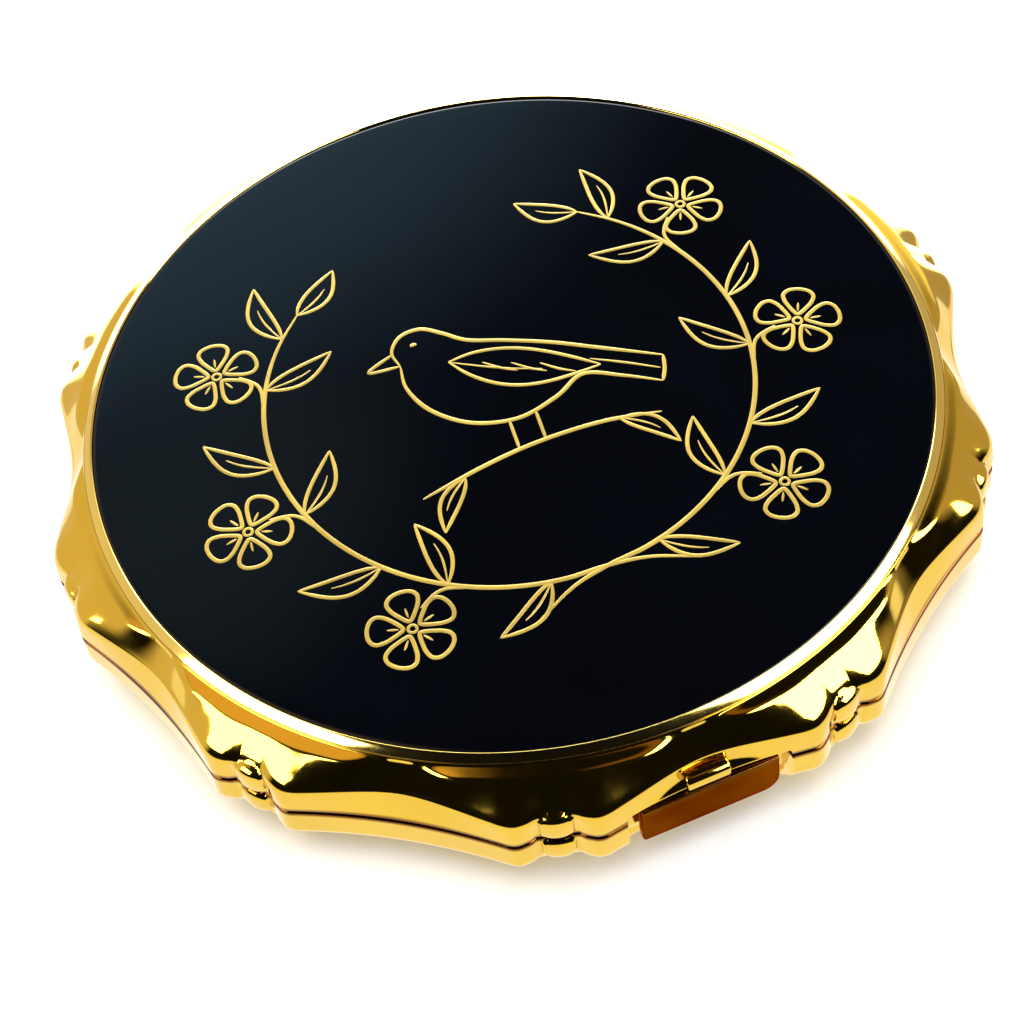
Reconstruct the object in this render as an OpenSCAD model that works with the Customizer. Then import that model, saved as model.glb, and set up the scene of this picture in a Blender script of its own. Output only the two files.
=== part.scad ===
// Powder compact with a ten-lobed piecrust rim, an enamelled lid, a mirror and a self-opening inner lid.
// Millimetres. +Z up, the origin at the centre of the flat underside, the catch at -Y and the hinge at +Y.

/* [Rim outline] */
// Radius at the rim's corners
corner_r = 41.15; // [40.6:0.05:41.8]
// Depth of each side's inward bow, from corner to corner
side_bow = 0.75; // [0.4:0.05:0.9]
// Radius at the floor of the notch between two corners
notch_r = 40.25; // [39.9:0.05:40.5]
// Height of the bead that stands in each notch
bead_rise = 0.6; // [0.2:0.05:0.8]

/* [Case heights] */
// Top edge of the case wall
case_top = 6.95; // [6.85:0.05:7]
// Lower edge of the lid wall
lid_bottom = 7.1; // [7.05:0.05:7.15]
// Edge of the enamel plate
plate_edge_z = 13; // [12.9:0.05:13.2]
// Rise of the enamel dome from edge to centre
dome_rise = 1.2; // [0.6:0.1:1.6]
// Thickness of the brass sheet
sheet = 0.6; // [0.5:0.05:0.65]

/* [Lid] */
// Radius of the enamel plate
plate_r = 36; // [35.8:0.05:36.05]
// Thickness of the enamel plate
plate_t = 0.5; // [0.4:0.05:0.6]
// Radius of the mirror
mirror_r = 33.4; // [33:0.1:33.4]
// Thickness of the mirror glass
mirror_t = 1.2; // [1:0.1:1.2]

/* [Powder well] */
// Outer radius of the powder well
well_r = 30.6; // [30:0.1:30.6]
// Underside of the well
well_floor = 1; // [0.8:0.1:1.2]
// Top of the well's lip
well_top = 7.65; // [7.55:0.05:7.65]

/* [Catch] */
// Width of the catch plate
catch_w = 12; // [11:0.1:13.4]
// Lower edge of the catch plate
catch_bottom = 3.4; // [3.2:0.1:4]
// Upper edge of the catch plate
catch_top = 7.6; // [7.5:0.05:7.6]

/* [Hidden] */
$fn = 96;

gilt = "goldenrod";
dark_gilt = "darkgoldenrod";

// ---- rim outline ------------------------------------------------------------------------------
lobes = 10;
pitch = 360 / lobes;
half = pitch / 2;
corner_at = 5;                         // angle from a notch's middle to its corner
bead_half = 1.7;                       // half the bead's angle
bow_end = half - corner_at;            // angle from a side's middle to its corner
side_y = corner_r * cos(bow_end) - side_bow;
catch_recess_y = 38.5;                 // distance of the recess behind the catch plate from the axis
recess_from = 8;                       // the recess starts this far from the nearest notch
corner_blend = 0.5;

// Sample angles across one half lobe, close together where the outline turns.
half_steps = [0, 0.9, 1.7, 2.4, 3.4, 4.4, 5.2, 6.5, 7.9, recess_from, 10.5, 13, 15.5];
lobe_steps = concat(half_steps, [half], [for (i = [len(half_steps) - 1 : -1 : 1]) pitch - half_steps[i]]);
rim_angles = [for (k = [0 : lobes - 1]) for (s = lobe_steps) k * pitch + s];
n_rim = len(rim_angles);

// Angle to the nearest notch.
function from_notch(a) = abs(a - pitch * round(a / pitch));
// A bowed side, as a parabola on the chord between two corners, in polar form.
function side_r(p) = (side_y + side_bow * pow(tan(half - p) / tan(bow_end), 2)) / cos(half - p);
// The notch: a floor that rises towards the corners, with a bead in its middle.
function notch_wall(p) = notch_r + 0.3 * max(0, p - 1.4) + (p < bead_half ? bead_rise * pow(cos(90 * p / bead_half), 2) : 0);
// The smaller of two curves, rounded where they cross.
function smooth_min(a, b, k) = min(a, b) - pow(max(k - abs(a - b), 0), 2) / (4 * k);
function rim_r(a) = smooth_min(side_r(from_notch(a)), notch_wall(from_notch(a)), corner_blend);
// True across the recess behind the catch plate, in the middle of the front side.
function in_recess(a) = abs(a - 270) <= half && from_notch(a) >= recess_from - 0.01;
function recessed_r(a, inset) = in_recess(a) ? min(rim_r(a), catch_recess_y / cos(a - 270)) - inset : rim_r(a) - inset;

// A ring of points: inset is measured in from the rim, and round blends it into a circle of radius circle_r.
function ring(inset, z, round = 0, circle_r = 0) =
    [for (a = rim_angles) let (r = (1 - round) * (rim_r(a) - inset) + round * circle_r) [r * cos(a), r * sin(a), z]];
function recessed_ring(inset, z) = [for (a = rim_angles) let (r = recessed_r(a, inset)) [r * cos(a), r * sin(a), z]];

// A closed skin through a list of rings, capped at both ends.
module skin(rings) {
    n = n_rim;
    last = len(rings) - 1;
    sides = [for (j = [0 : last - 1]) for (i = [0 : n - 1]) let (a = j * n + i, b = j * n + (i + 1) % n)
        each [[a, b + n, b], [a, a + n, b + n]]];
    caps = [[for (i = [n - 1 : -1 : 0]) last * n + i], [for (i = [0 : n - 1]) i]];
    polyhedron(points = [for (r = rings) each r], faces = concat(sides, caps), convexity = 6);
}

module rim_prism(inset, z0, z1) {
    translate([0, 0, z0])
        linear_extrude(z1 - z0)
            polygon([for (a = rim_angles) recessed_r(a, inset) * [cos(a), sin(a)]]);
}

// ---- small helpers ----------------------------------------------------------------------------
module tube(r_out, r_in, z0, z1) {
    rotate_extrude()
        translate([r_in, z0])
            square([r_out - r_in, z1 - z0]);
}
module disc(r, z0, z1) {
    translate([0, 0, z0])
        cylinder(r = r, h = z1 - z0);
}
module block(x0, x1, y0, y1, z0, z1) {
    translate([x0, y0, z0])
        cube([x1 - x0, y1 - y0, z1 - z0]);
}
module rod_x(r, x0, x1, y, z) {
    translate([x0, y, z])
        rotate([0, 90, 0])
            cylinder(r = r, h = x1 - x0);
}

// ---- case: shell, deck and well ---------------------------------------------------------------
case_foot_r = 32.2;
module case_shell() {
    color(gilt)
        skin([
            ring(0, 0, 1, case_foot_r),
            ring(5, 0.25, 0.8, 34.6),
            ring(3, 1, 0.35, 36.8),
            ring(1.5, 2.2),
            recessed_ring(0.5, 3.4),
            recessed_ring(0, 4.1),
            recessed_ring(0, case_top),
            recessed_ring(sheet, case_top),
            recessed_ring(sheet, 4.5),
            recessed_ring(sheet + 0.5, 3.9),
            ring(sheet + 1.6, 2.7),
            ring(sheet + 3.1, 1.6, 0.35, 36.2),
            ring(sheet + 5, 0.85, 0.8, 34),
            ring(0, sheet, 1, case_foot_r - 0.5)
        ]);
}

deck_z = 5.95;
deck_top = 6.45;
rivet_r = 0.5;
catch_rivet_at = [10, -34.4];
bracket_rivet_at = [5.5, 36];
module deck_plate() {
    color(dark_gilt)
        difference() {
            rim_prism(sheet + 0.02, deck_z, deck_top);
            disc(well_r, deck_z - 1, deck_top + 1);
            block(-4.2, 4.2, -38.2, -35.6, deck_z - 1, deck_top + 1);
            for (side = [-1, 1]) {
                translate([side * catch_rivet_at[0], catch_rivet_at[1], 0])
                    disc(rivet_r, deck_z - 1, deck_top + 1);
                translate([side * bracket_rivet_at[0], bracket_rivet_at[1], 0])
                    disc(rivet_r, deck_z - 1, deck_top + 1);
            }
        }
}

well_wall = 0.5;
ledge_z = 3.2;
module powder_well() {
    color(gilt)
        rotate_extrude()
            polygon([
                [0, well_floor], [well_r - 0.6, well_floor], [well_r, well_floor + 0.6],
                [well_r, deck_top], [well_r + 0.25, deck_top], [well_r + 0.25, deck_top + 0.2],
                [well_r, deck_top + 0.4], [well_r, well_top], [well_r - well_wall, well_top],
                [well_r - well_wall, ledge_z], [well_r - well_wall - 0.5, ledge_z],
                [well_r - well_wall - 0.5, ledge_z - 0.4], [well_r - well_wall, ledge_z - 0.9],
                [well_r - well_wall, well_floor + 0.8], [well_r - 0.9, well_floor + 0.5],
                [0, well_floor + 0.5]
            ]);
}

// ---- sifter and puff --------------------------------------------------------------------------
sifter_r = 29.8;
sifter_hole_r = 26.5;
mesh_z = 3.45;
mesh_t = 0.12;
mesh_r = 27.2;
module sifter_ring() {
    color(gilt)
        rotate_extrude()
            polygon([
                [sifter_hole_r, ledge_z], [sifter_r, ledge_z], [sifter_r, ledge_z + 1.4],
                [sifter_r - 0.4, ledge_z + 1.4], [sifter_r - 0.4, ledge_z + 0.7], [sifter_hole_r, ledge_z + 0.7],
                [sifter_hole_r, mesh_z + mesh_t], [mesh_r, mesh_z + mesh_t], [mesh_r, mesh_z], [sifter_hole_r, mesh_z]
            ]);
}
module sifter_mesh() {
    color("ivory")
        disc(mesh_r, mesh_z, mesh_z + mesh_t);
}

puff_r = 28.4;
puff_z = 3.95;
puff_top = 6.55;
module puff_pad() {
    color("mistyrose")
        rotate_extrude()
            polygon([
                [0, puff_z], [puff_r - 1.2, puff_z], [puff_r - 0.3, puff_z + 0.5], [puff_r, puff_z + 1.4],
                [puff_r - 0.4, puff_top], [0, puff_top]
            ]);
}
module puff_backing() {
    color("pink")
        disc(puff_r - 1.4, puff_top, puff_top + 0.45);
}
module puff_ribbon() {
    color("pink")
        translate([0, 0, puff_top + 0.45])
            difference() {
                intersection() {
                    disc(puff_r - 2, 0, 0.35);
                    block(-4, 4, -30, 30, 0, 0.35);
                }
                block(-5, 5, -7, 7, -1, 0.1);
            }
}

// ---- outer hinge ------------------------------------------------------------------------------
hinge_y = 41;
hinge_z = 7.05;
knuckle_r = 1.1;
pin_r = 0.6;
running_gap = 0.04;
hinge_half = 7;
knuckle_gap = 0.1;
knuckles = 5;
knuckle_w = 2 * hinge_half / knuckles;
arm_y = 39.25;
function knuckle_x(i) = -hinge_half + i * knuckle_w;

// One knuckle and the arm that joins it to a wall; up is 1 for the lid and -1 for the case.
module knuckle(i, up) {
    x0 = knuckle_x(i) + knuckle_gap / 2;
    x1 = knuckle_x(i + 1) - knuckle_gap / 2;
    difference() {
        union() {
            rod_x(knuckle_r, x0, x1, hinge_y, hinge_z);
            if (up > 0) block(x0, x1, arm_y, hinge_y, hinge_z + 0.2, hinge_z + knuckle_r);
            if (up < 0) block(x0, x1, arm_y, hinge_y, hinge_z - knuckle_r, hinge_z - 0.2);
        }
        rod_x(pin_r + running_gap, x0 - 1, x1 + 1, hinge_y, hinge_z);
    }
}
module case_hinge_knuckles() {
    color(gilt)
        for (i = [0, 2, 4]) knuckle(i, -1);
}
module lid_hinge_knuckles() {
    color(gilt)
        for (i = [1, 3]) knuckle(i, 1);
}
module hinge_pin() {
    color("silver") {
        rod_x(pin_r, -hinge_half - 0.1, hinge_half + 0.1, hinge_y, hinge_z);
        for (side = [-1, 1])
            translate([side * (hinge_half + 0.25), 0, 0])
                rod_x(pin_r + 0.2, -0.25, 0.25, hinge_y, hinge_z);
    }
}

// ---- inner hinge and its spring ---------------------------------------------------------------
inner_y = 33;
inner_z = 7.35;
inner_knuckle_r = 0.85;
inner_pin_r = 0.45;
inner_knuckle_w = 3;

module inner_knuckle(x0, x1) {
    difference() {
        children();
        rod_x(inner_pin_r + running_gap, x0 - 1, x1 + 1, inner_y, inner_z);
    }
}
module inner_hinge_bracket() {
    color(dark_gilt) {
        difference() {
            block(-9, 9, 34.1, 37.4, deck_top, deck_top + 0.3);
            for (side = [-1, 1])
                translate([side * bracket_rivet_at[0], bracket_rivet_at[1], 0])
                    disc(rivet_r, deck_top - 1, deck_top + 1);
        }
        for (side = [-1, 1])
            inner_knuckle(side * 7.5 - inner_knuckle_w / 2, side * 7.5 + inner_knuckle_w / 2)
                union() {
                    rod_x(inner_knuckle_r, side * 7.5 - 1.5, side * 7.5 + 1.5, inner_y, inner_z);
                    block(side * 7.5 - 1.5, side * 7.5 + 1.5, inner_y, 34.2, deck_top + 0.02, deck_top + 0.3);
                }
    }
}
module inner_lid_knuckles() {
    color(gilt)
        for (side = [-1, 1])
            inner_knuckle(side * 4.4 - inner_knuckle_w / 2, side * 4.4 + inner_knuckle_w / 2)
                union() {
                    rod_x(inner_knuckle_r, side * 4.4 - 1.5, side * 4.4 + 1.5, inner_y, inner_z);
                    block(side * 4.4 - 1.5, side * 4.4 + 1.5, 30.6, inner_y, inner_z + 0.47, inner_z + inner_knuckle_r);
                }
}
module inner_hinge_pin() {
    color("silver")
        rod_x(inner_pin_r, -9.3, 9.3, inner_y, inner_z);
}
spring_wire = 0.16;
spring_turns = 12;
module inner_lift_spring() {
    color("silver") {
        for (i = [0 : spring_turns - 1])
            translate([-2.2 + i * 0.4, inner_y, inner_z])
                rotate([0, 90, 0])
                    rotate_extrude($fn = 32)
                        translate([inner_pin_r + 0.05 + spring_wire, 0])
                            circle(r = spring_wire, $fn = 16);
        rod_x(0.12, -2.3, 2.3, inner_y, inner_z - inner_pin_r - 0.16);
        translate([-2.2, inner_y, deck_top + 0.02 + spring_wire])
            rotate([-90, 0, 0])
                cylinder(r = spring_wire, h = 1.1, $fn = 16);
    }
}
module bracket_rivets() {
    color(gilt)
        for (side = [-1, 1])
            translate([side * bracket_rivet_at[0], bracket_rivet_at[1], 0]) {
                disc(rivet_r, deck_z - 0.25, deck_top + 0.3);
                disc(0.9, deck_top + 0.3, deck_top + 0.55);
                disc(0.9, deck_z - 0.25, deck_z);
            }
}

// ---- catch ------------------------------------------------------------------------------------
latch_half = 3.5;
plate_back_y = -39.05;
plate_front_y = -39.8;
leg_back_y = -37.1;
catch_travel = 0.45;
module catch_plate() {
    color(dark_gilt)
        intersection() {
            block(-catch_w / 2, catch_w / 2, plate_front_y, plate_back_y, catch_bottom, catch_top);
            translate([0, 0, catch_bottom])
                linear_extrude(catch_top - catch_bottom)
                    polygon([
                        [-catch_w / 2, plate_back_y], [catch_w / 2, plate_back_y],
                        [catch_w / 2, plate_front_y + 0.3], [catch_w / 2 - 0.4, plate_front_y],
                        [-catch_w / 2 + 0.4, plate_front_y], [-catch_w / 2, plate_front_y + 0.3]
                    ]);
        }
}
module catch_latch() {
    color("silver") {
        block(-latch_half, latch_half, plate_back_y, leg_back_y, case_top + 0.1, catch_top);
        block(-latch_half, latch_half, leg_back_y - 0.5, leg_back_y, 4.4, case_top + 0.1);
    }
}
spring_y = -36.5;
module catch_spring() {
    color("silver") {
        block(-12, 12, spring_y, spring_y + 0.2, 3.6, deck_z - 0.05);
        difference() {
            for (side = [-1, 1])
                translate([side * 10, 0, 0])
                    block(-2, 2, spring_y + 0.1, -32.8, deck_z - 0.25, deck_z);
            for (side = [-1, 1])
                translate([side * catch_rivet_at[0], catch_rivet_at[1], 0])
                    disc(rivet_r, deck_z - 1, deck_z + 1);
        }
    }
}
module catch_spring_rivets() {
    color(gilt)
        for (side = [-1, 1])
            translate([side * catch_rivet_at[0], catch_rivet_at[1], 0]) {
                disc(rivet_r, deck_z - 0.25, deck_top);
                disc(0.9, deck_top, deck_top + 0.25);
                disc(0.9, deck_z - 0.5, deck_z - 0.25);
            }
}
module well_clip() {
    color("silver") {
        block(-3, 3, -35.1, -33.9, deck_top, deck_top + 0.25);
        block(-3, 3, -34.05, -33.8, deck_top, deck_top + 1.3);
    }
}

// ---- lid --------------------------------------------------------------------------------------
seat_r = 36.85;
step_z = 12.36;                        // foot of the small step that carries the bezel
band_r = 38;
shoulder_z = 10;
shoulder_lean = 0.9;                   // how far the lid's wall leans in at the middle of a side
function dome_z(r) = plate_edge_z + dome_rise * (1 - pow(r / plate_r, 2));
seat_gap = 0.02;
function under_plate_z(r) = dome_z(r) - plate_t;
function seat_z(r) = under_plate_z(r) - seat_gap;
lid_recess_z = catch_top + 0.15;

// The lid's shoulder keeps to the rim at the corners and leans in between them.
function lean(a) = let (u = max(0, from_notch(a) - corner_at) / bow_end) shoulder_lean * u * u * (3 - 2 * u);
function shoulder_r(a, inset) = rim_r(a) - lean(a) - inset;
function shoulder_ring(inset, z) = [for (a = rim_angles) let (r = shoulder_r(a, inset)) [r * cos(a), r * sin(a), z]];
// The ring half way up the wall, which has taken up part of the lean.
wall_z = 8.3;
wall_share = 0.4;
function wall_ring(inset) =
    [for (a = rim_angles) let (r = rim_r(a) - wall_share * lean(a) - inset) [r * cos(a), r * sin(a), wall_z]];
// The flat band outside the bezel, pinched where the sides come close to it.
band_inset = 0.7;
band_pinch = 0.75;
function band_edge_r(a) = min(band_r, shoulder_r(a, band_inset + band_pinch * lean(a) / shoulder_lean));
function band_ring(inset, z) =
    [for (a = rim_angles) let (r = band_edge_r(a) - inset) [r * cos(a), r * sin(a), z]];
// The lid's lower edge, raised over the catch.
function lip_ring(inset, z, z_catch) =
    [for (a = rim_angles) let (r = rim_r(a) - inset) [r * cos(a), r * sin(a), in_recess(a) ? z_catch : z]];

module lid_shell() {
    color(gilt)
        skin([
            ring(0, seat_z(12) - sheet, 1, 12),
            ring(0, seat_z(24) - sheet, 1, 24),
            ring(0, seat_z(plate_r) - sheet, 1, plate_r - 0.1),
            band_ring(0.45, 11.45),
            shoulder_ring(sheet + 0.25, 9.85),
            wall_ring(sheet),
            lip_ring(sheet, lid_bottom, lid_recess_z),
            lip_ring(0, lid_bottom, lid_recess_z),
            wall_ring(0),
            shoulder_ring(0, shoulder_z - 0.25),
            shoulder_ring(0.3, shoulder_z + 0.3),
            band_ring(0, 12.1),
            ring(0, step_z, 1, seat_r + 0.08),
            ring(0, seat_z(plate_r), 1, seat_r),
            ring(0, seat_z(plate_r), 1, plate_r),
            ring(0, seat_z(24), 1, 24),
            ring(0, seat_z(12), 1, 12)
        ]);
}
module bezel_ring() {
    color(gilt)
        rotate_extrude()
            polygon([
                [plate_r + 0.02, plate_edge_z - plate_t], [seat_r - 0.07, plate_edge_z - plate_t],
                [seat_r - 0.07, plate_edge_z - 0.44], [plate_r + 0.15, plate_edge_z + 0.1],
                [plate_r + 0.02, plate_edge_z]
            ]);
}
dome_steps = 8;
module enamel_plate() {
    color("black")
        rotate_extrude()
            polygon(concat(
                [for (i = [0 : dome_steps]) let (r = plate_r * i / dome_steps) [r, dome_z(r)]],
                [for (i = [dome_steps : -1 : 0]) let (r = plate_r * i / dome_steps) [r, under_plate_z(r)]]
            ));
}
lip_w = 3.8;
lip_front_y = -39.7;
lip_back_y = -38.62;                   // inside the lid's wall
lip_bottom = lid_recess_z + 0.1;
lip_top = lip_bottom + 1.3;
lip_slope = 0.35;
module thumb_lip() {
    color(gilt)
        rotate([90, 0, 90])
            linear_extrude(lip_w, center = true)
                polygon([
                    [lip_back_y, lip_bottom], [lip_front_y, lip_bottom], [lip_front_y, lip_top - lip_slope],
                    [lip_front_y + lip_slope, lip_top], [lip_back_y, lip_top]
                ]);
}
hook_y = leg_back_y + catch_travel + 0.65;
hook_root_y = -38.6;                   // inside the lid's wall
module lid_hook() {
    color("silver") {
        block(-2.5, 2.5, hook_root_y, hook_y, 8.1, 8.6);
        block(-2.5, 2.5, hook_y - 0.5, hook_y, 6.65, 8.1);
    }
}

// ---- mirror -----------------------------------------------------------------------------------
mirror_z = 9.3;
function ceiling_z(r) = seat_z(r) - sheet - 0.02;
module mirror_glass() {
    color("lightsteelblue")
        disc(mirror_r, mirror_z, mirror_z + mirror_t);
}
module mirror_backing() {
    color("saddlebrown")
        disc(mirror_r, mirror_z + mirror_t, mirror_z + mirror_t + 0.7);
}
module mirror_ring() {
    color(gilt)
        rotate_extrude()
            polygon([
                [mirror_r - 0.9, mirror_z - 0.2], [mirror_r - 0.5, mirror_z - 0.4], [mirror_r + 0.9, mirror_z - 0.4],
                [mirror_r + 1.2, mirror_z - 0.1], [mirror_r + 1.2, ceiling_z(mirror_r + 1.2)],
                [mirror_r, ceiling_z(mirror_r + 1.2)], [mirror_r, mirror_z], [mirror_r - 0.9, mirror_z]
            ]);
}

// ---- inner lid --------------------------------------------------------------------------------
inner_lid_r = 31.5;
inner_edge_z = 8.3;
module inner_lid() {
    color(gilt)
        rotate_extrude()
            polygon([
                [0, 8.2], [22, 8.1], [inner_lid_r - 0.5, 7.8], [inner_lid_r - 0.5, 6.6], [inner_lid_r, 6.6],
                [inner_lid_r, inner_edge_z - 0.3], [inner_lid_r - 0.35, inner_edge_z], [22, 8.55], [0, 8.65]
            ]);
}
module inner_lid_tab() {
    color(gilt)
        block(-3.5, 3.5, -33.6, -31.3, 7.1, 7.45);
}

case_shell();
deck_plate();
powder_well();
sifter_ring();
sifter_mesh();
puff_pad();
puff_backing();
puff_ribbon();
case_hinge_knuckles();
hinge_pin();
inner_hinge_bracket();
inner_hinge_pin();
inner_lift_spring();
bracket_rivets();
catch_spring();
catch_spring_rivets();
well_clip();
catch_plate();
catch_latch();
lid_shell();
bezel_ring();
enamel_plate();
thumb_lip();
lid_hook();
mirror_backing();
mirror_glass();
mirror_ring();
lid_hinge_knuckles();
inner_lid();
inner_lid_knuckles();
inner_lid_tab();
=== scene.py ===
"""A round powder compact: gilt brass, a ten-lobed piecrust rim and an engraved black enamel lid.

Sizes are in millimetres, and a mesh is scaled to metres as it is made. The frame is the part's own: +Z up, the
origin at the centre of the foot, the catch at -Y and the hinge at +Y. Angles are in degrees, counted from +X.
"""

import logging
import math
from dataclasses import dataclass, field
from enum import Enum
from typing import Iterable, Sequence

import bmesh
import bpy
import numpy as np
from mathutils import Matrix, Vector
from numpy.typing import NDArray


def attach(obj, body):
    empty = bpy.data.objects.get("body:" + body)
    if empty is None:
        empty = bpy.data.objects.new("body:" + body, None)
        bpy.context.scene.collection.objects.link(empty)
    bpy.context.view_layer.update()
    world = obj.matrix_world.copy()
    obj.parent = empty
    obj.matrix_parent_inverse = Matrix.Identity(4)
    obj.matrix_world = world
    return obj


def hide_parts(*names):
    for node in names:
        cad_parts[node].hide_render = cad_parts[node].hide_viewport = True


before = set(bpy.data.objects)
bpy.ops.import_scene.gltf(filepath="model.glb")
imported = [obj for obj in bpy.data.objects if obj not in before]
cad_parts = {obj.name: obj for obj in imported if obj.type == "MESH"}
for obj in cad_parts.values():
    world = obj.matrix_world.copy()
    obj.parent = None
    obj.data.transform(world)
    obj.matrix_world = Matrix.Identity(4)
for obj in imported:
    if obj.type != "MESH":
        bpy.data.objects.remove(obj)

Array = NDArray[np.float64]
Node = bpy.types.ShaderNode
Piece = bpy.types.Object

MM = 0.001
FLOOR_HALF = 3.0
CATCH_ANGLE = 270.0
SHARP_ANGLE = math.radians(35)
LOG = logging.getLogger("compact")


class Body(Enum):
    """The rigid bodies that pieces ride on."""

    CASE = "case"
    CATCH = "catch"
    LID = "lid"
    INNER_LID = "inner_lid"


# ---- Surfaces ----


def smoothstep(x: Array, low: float = 0.0, high: float = 1.0) -> Array:
    """Eases from 0 at low to 1 at high: 3t^2 - 2t^3 of the clipped share t."""
    t = np.clip((np.asarray(x, float) - low) / (high - low), 0.0, 1.0)
    return t * t * (3.0 - 2.0 * t)


def soft_min(a: Array | float, b: Array | float, k: float) -> Array:
    """The smaller of two values, rounded over k where they cross: min - max(k - |a - b|, 0)^2 / 4k."""
    return np.minimum(a, b) - np.maximum(k - np.abs(a - b), 0.0) ** 2 / (4 * k)


def grid_faces(rows: int, cols: int, wrap_rows: bool = False, first: int = 0) -> Array:
    """Quads of a grid of points whose columns close on themselves.

    Args:
        rows: number of rings.
        cols: points in each ring.
        wrap_rows: whether the last ring joins the first, as on a torus.
        first: index of the grid's first point.

    Returns:
        An array of quads, four indices each.
    """
    j = np.arange(rows if wrap_rows else rows - 1)[:, None]
    i = np.arange(cols)[None, :]
    here, up = j * cols, ((j + 1) % rows) * cols
    right = (i + 1) % cols
    return first + np.stack([here + i, here + right, up + right, up + i], -1).reshape(-1, 4)


def fan_faces(ring_start: int, cols: int, pole: int) -> Array:
    """Triangles from one pole to a closed ring of points."""
    i = np.arange(cols)
    return np.stack([ring_start + (i + 1) % cols, ring_start + i, np.full(cols, pole)], -1)


def faces_outward(points: Array, quads: Array, triangles: Array) -> bool:
    """True if the closed surface's signed volume, the sum of its cones to the origin, is positive."""
    tris = np.concatenate([quads[:, [0, 1, 2]], quads[:, [0, 2, 3]], triangles])
    a, b, c = (points[tris[:, k]] for k in range(3))
    return float(np.einsum("ij,ij->i", a, np.cross(b, c)).sum()) > 0.0


def make_mesh(name: str, points: Array, quads: Array, triangles: Array, sharp_deg: float) -> Piece:
    """Puts a closed surface into a new object, its faces outward.

    Args:
        name: the piece's name.
        points: vertices in millimetres.
        quads: four indices a face.
        triangles: three indices a face.
        sharp_deg: edges that bend by more than this stay crisp.

    Returns:
        The new object, untransformed, in metres.
    """
    if not faces_outward(points, quads, triangles):
        quads, triangles = quads[:, ::-1], triangles[:, ::-1]
    mesh = bpy.data.meshes.new(name)
    mesh.from_pydata((points * MM).tolist(), [], quads.tolist() + triangles.tolist())
    mesh.update()
    mesh.shade_smooth()
    mesh.set_sharp_from_angle(angle=math.radians(sharp_deg))
    piece = bpy.data.objects.new(name, mesh)
    bpy.context.scene.collection.objects.link(piece)
    return piece


def ring_skin(name: str, rings: Array, poles: bool, sharp_deg: float = 32.0) -> Piece:
    """A closed skin through a stack of rings.

    Args:
        name: the piece's name.
        rings: array (rows, columns, 3) of points in millimetres.
        poles: True closes both ends at a point in the ring's middle; False joins the last ring to the first.
        sharp_deg: edges that bend by more than this stay crisp.

    Returns:
        The new object.
    """
    rows, cols = rings.shape[:2]
    points = rings.reshape(-1, 3)
    triangles = np.zeros((0, 3), int)
    if poles:
        ends = rings[[0, -1]].mean(1)
        points = np.concatenate([points, ends])
        low, high = fan_faces(0, cols, rows * cols), fan_faces((rows - 1) * cols, cols, rows * cols + 1)
        triangles = np.concatenate([low, high[:, ::-1]])
    return make_mesh(name, points, grid_faces(rows, cols, not poles), triangles, sharp_deg)


def filleted(rings: Array, radii: Sequence[float], steps: int = 5, between: Sequence[int] = ()) -> Array:
    """Rounds the inner corners of a stack of control rings.

    A corner P between neighbours A and B becomes the quadratic curve from P + d(A - P) to P + d(B - P), as unit
    directions times the fillet's length, with P as its middle control point. The length is never over 0.45 of a leg.

    Args:
        rings: control rings, an array (corners, columns, 3).
        radii: a fillet length for each control ring; the first and last are kept as they are.
        steps: points along each fillet.
        between: extra rings on the straight run after each control ring.

    Returns:
        The denser stack of rings.
    """
    count = len(rings)
    rows: list[Array] = [rings[:1]]
    t = np.linspace(0.0, 1.0, steps)[:, None, None]
    for k in range(1, count):
        last = k == count - 1
        start = rows[-1][-1]
        if last:
            arc = rings[k][None]
        else:
            before, after = rings[k - 1] - rings[k], rings[k + 1] - rings[k]
            leg_a = np.linalg.norm(before, axis=-1, keepdims=True)
            leg_b = np.linalg.norm(after, axis=-1, keepdims=True)
            reach = np.minimum(radii[k], 0.45 * np.minimum(leg_a, leg_b))
            a = rings[k] + before / np.maximum(leg_a, 1e-9) * reach
            b = rings[k] + after / np.maximum(leg_b, 1e-9) * reach
            arc = (1 - t) ** 2 * a + 2 * t * (1 - t) * rings[k] + t**2 * b if radii[k] > 0 else rings[k][None]
        extra = between[k - 1] if k - 1 < len(between) else 0
        share = (np.arange(1, extra + 1) / (extra + 1))[:, None, None]
        rows.append(start[None] * (1 - share) + arc[0][None] * share)
        rows.append(arc)
    return np.concatenate(rows)


def turned(name: str, profile: Sequence[tuple[float, float, float]], cols: int = 256, steps: int = 4) -> Piece:
    """A lathe-turned piece.

    Args:
        name: the piece's name.
        profile: (radius, height, fillet) corners. A profile whose first radius is 0 runs from pole to pole, and
            any other closes on itself as a ring.
        cols: points round the axis.
        steps: points along each fillet.

    Returns:
        The new object, its surface the profile turned about Z: (r cos a, r sin a, z).
    """
    poles = profile[0][0] == 0.0
    stack = list(profile) if poles else [*profile, profile[0], profile[1]]
    corners = np.array([[r, 0.0, z] for r, z, _ in stack])[:, None]
    rows = filleted(corners, [f for _, _, f in stack], steps)[1:-1, 0]
    if not poles:
        closing = np.linalg.norm(rows - rows[0], axis=1)
        again = np.nonzero(closing[2:] < 1e-6)[0]
        rows = rows[: again[0] + 2] if len(again) else rows
    a = np.linspace(0.0, 2 * np.pi, cols, endpoint=False)
    rings = np.stack(
        [rows[:, None, 0] * np.cos(a), rows[:, None, 0] * np.sin(a), np.repeat(rows[:, None, 2], cols, 1)], -1
    )
    return ring_skin(name, rings, poles)


# ---- Finishes ----


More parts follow.
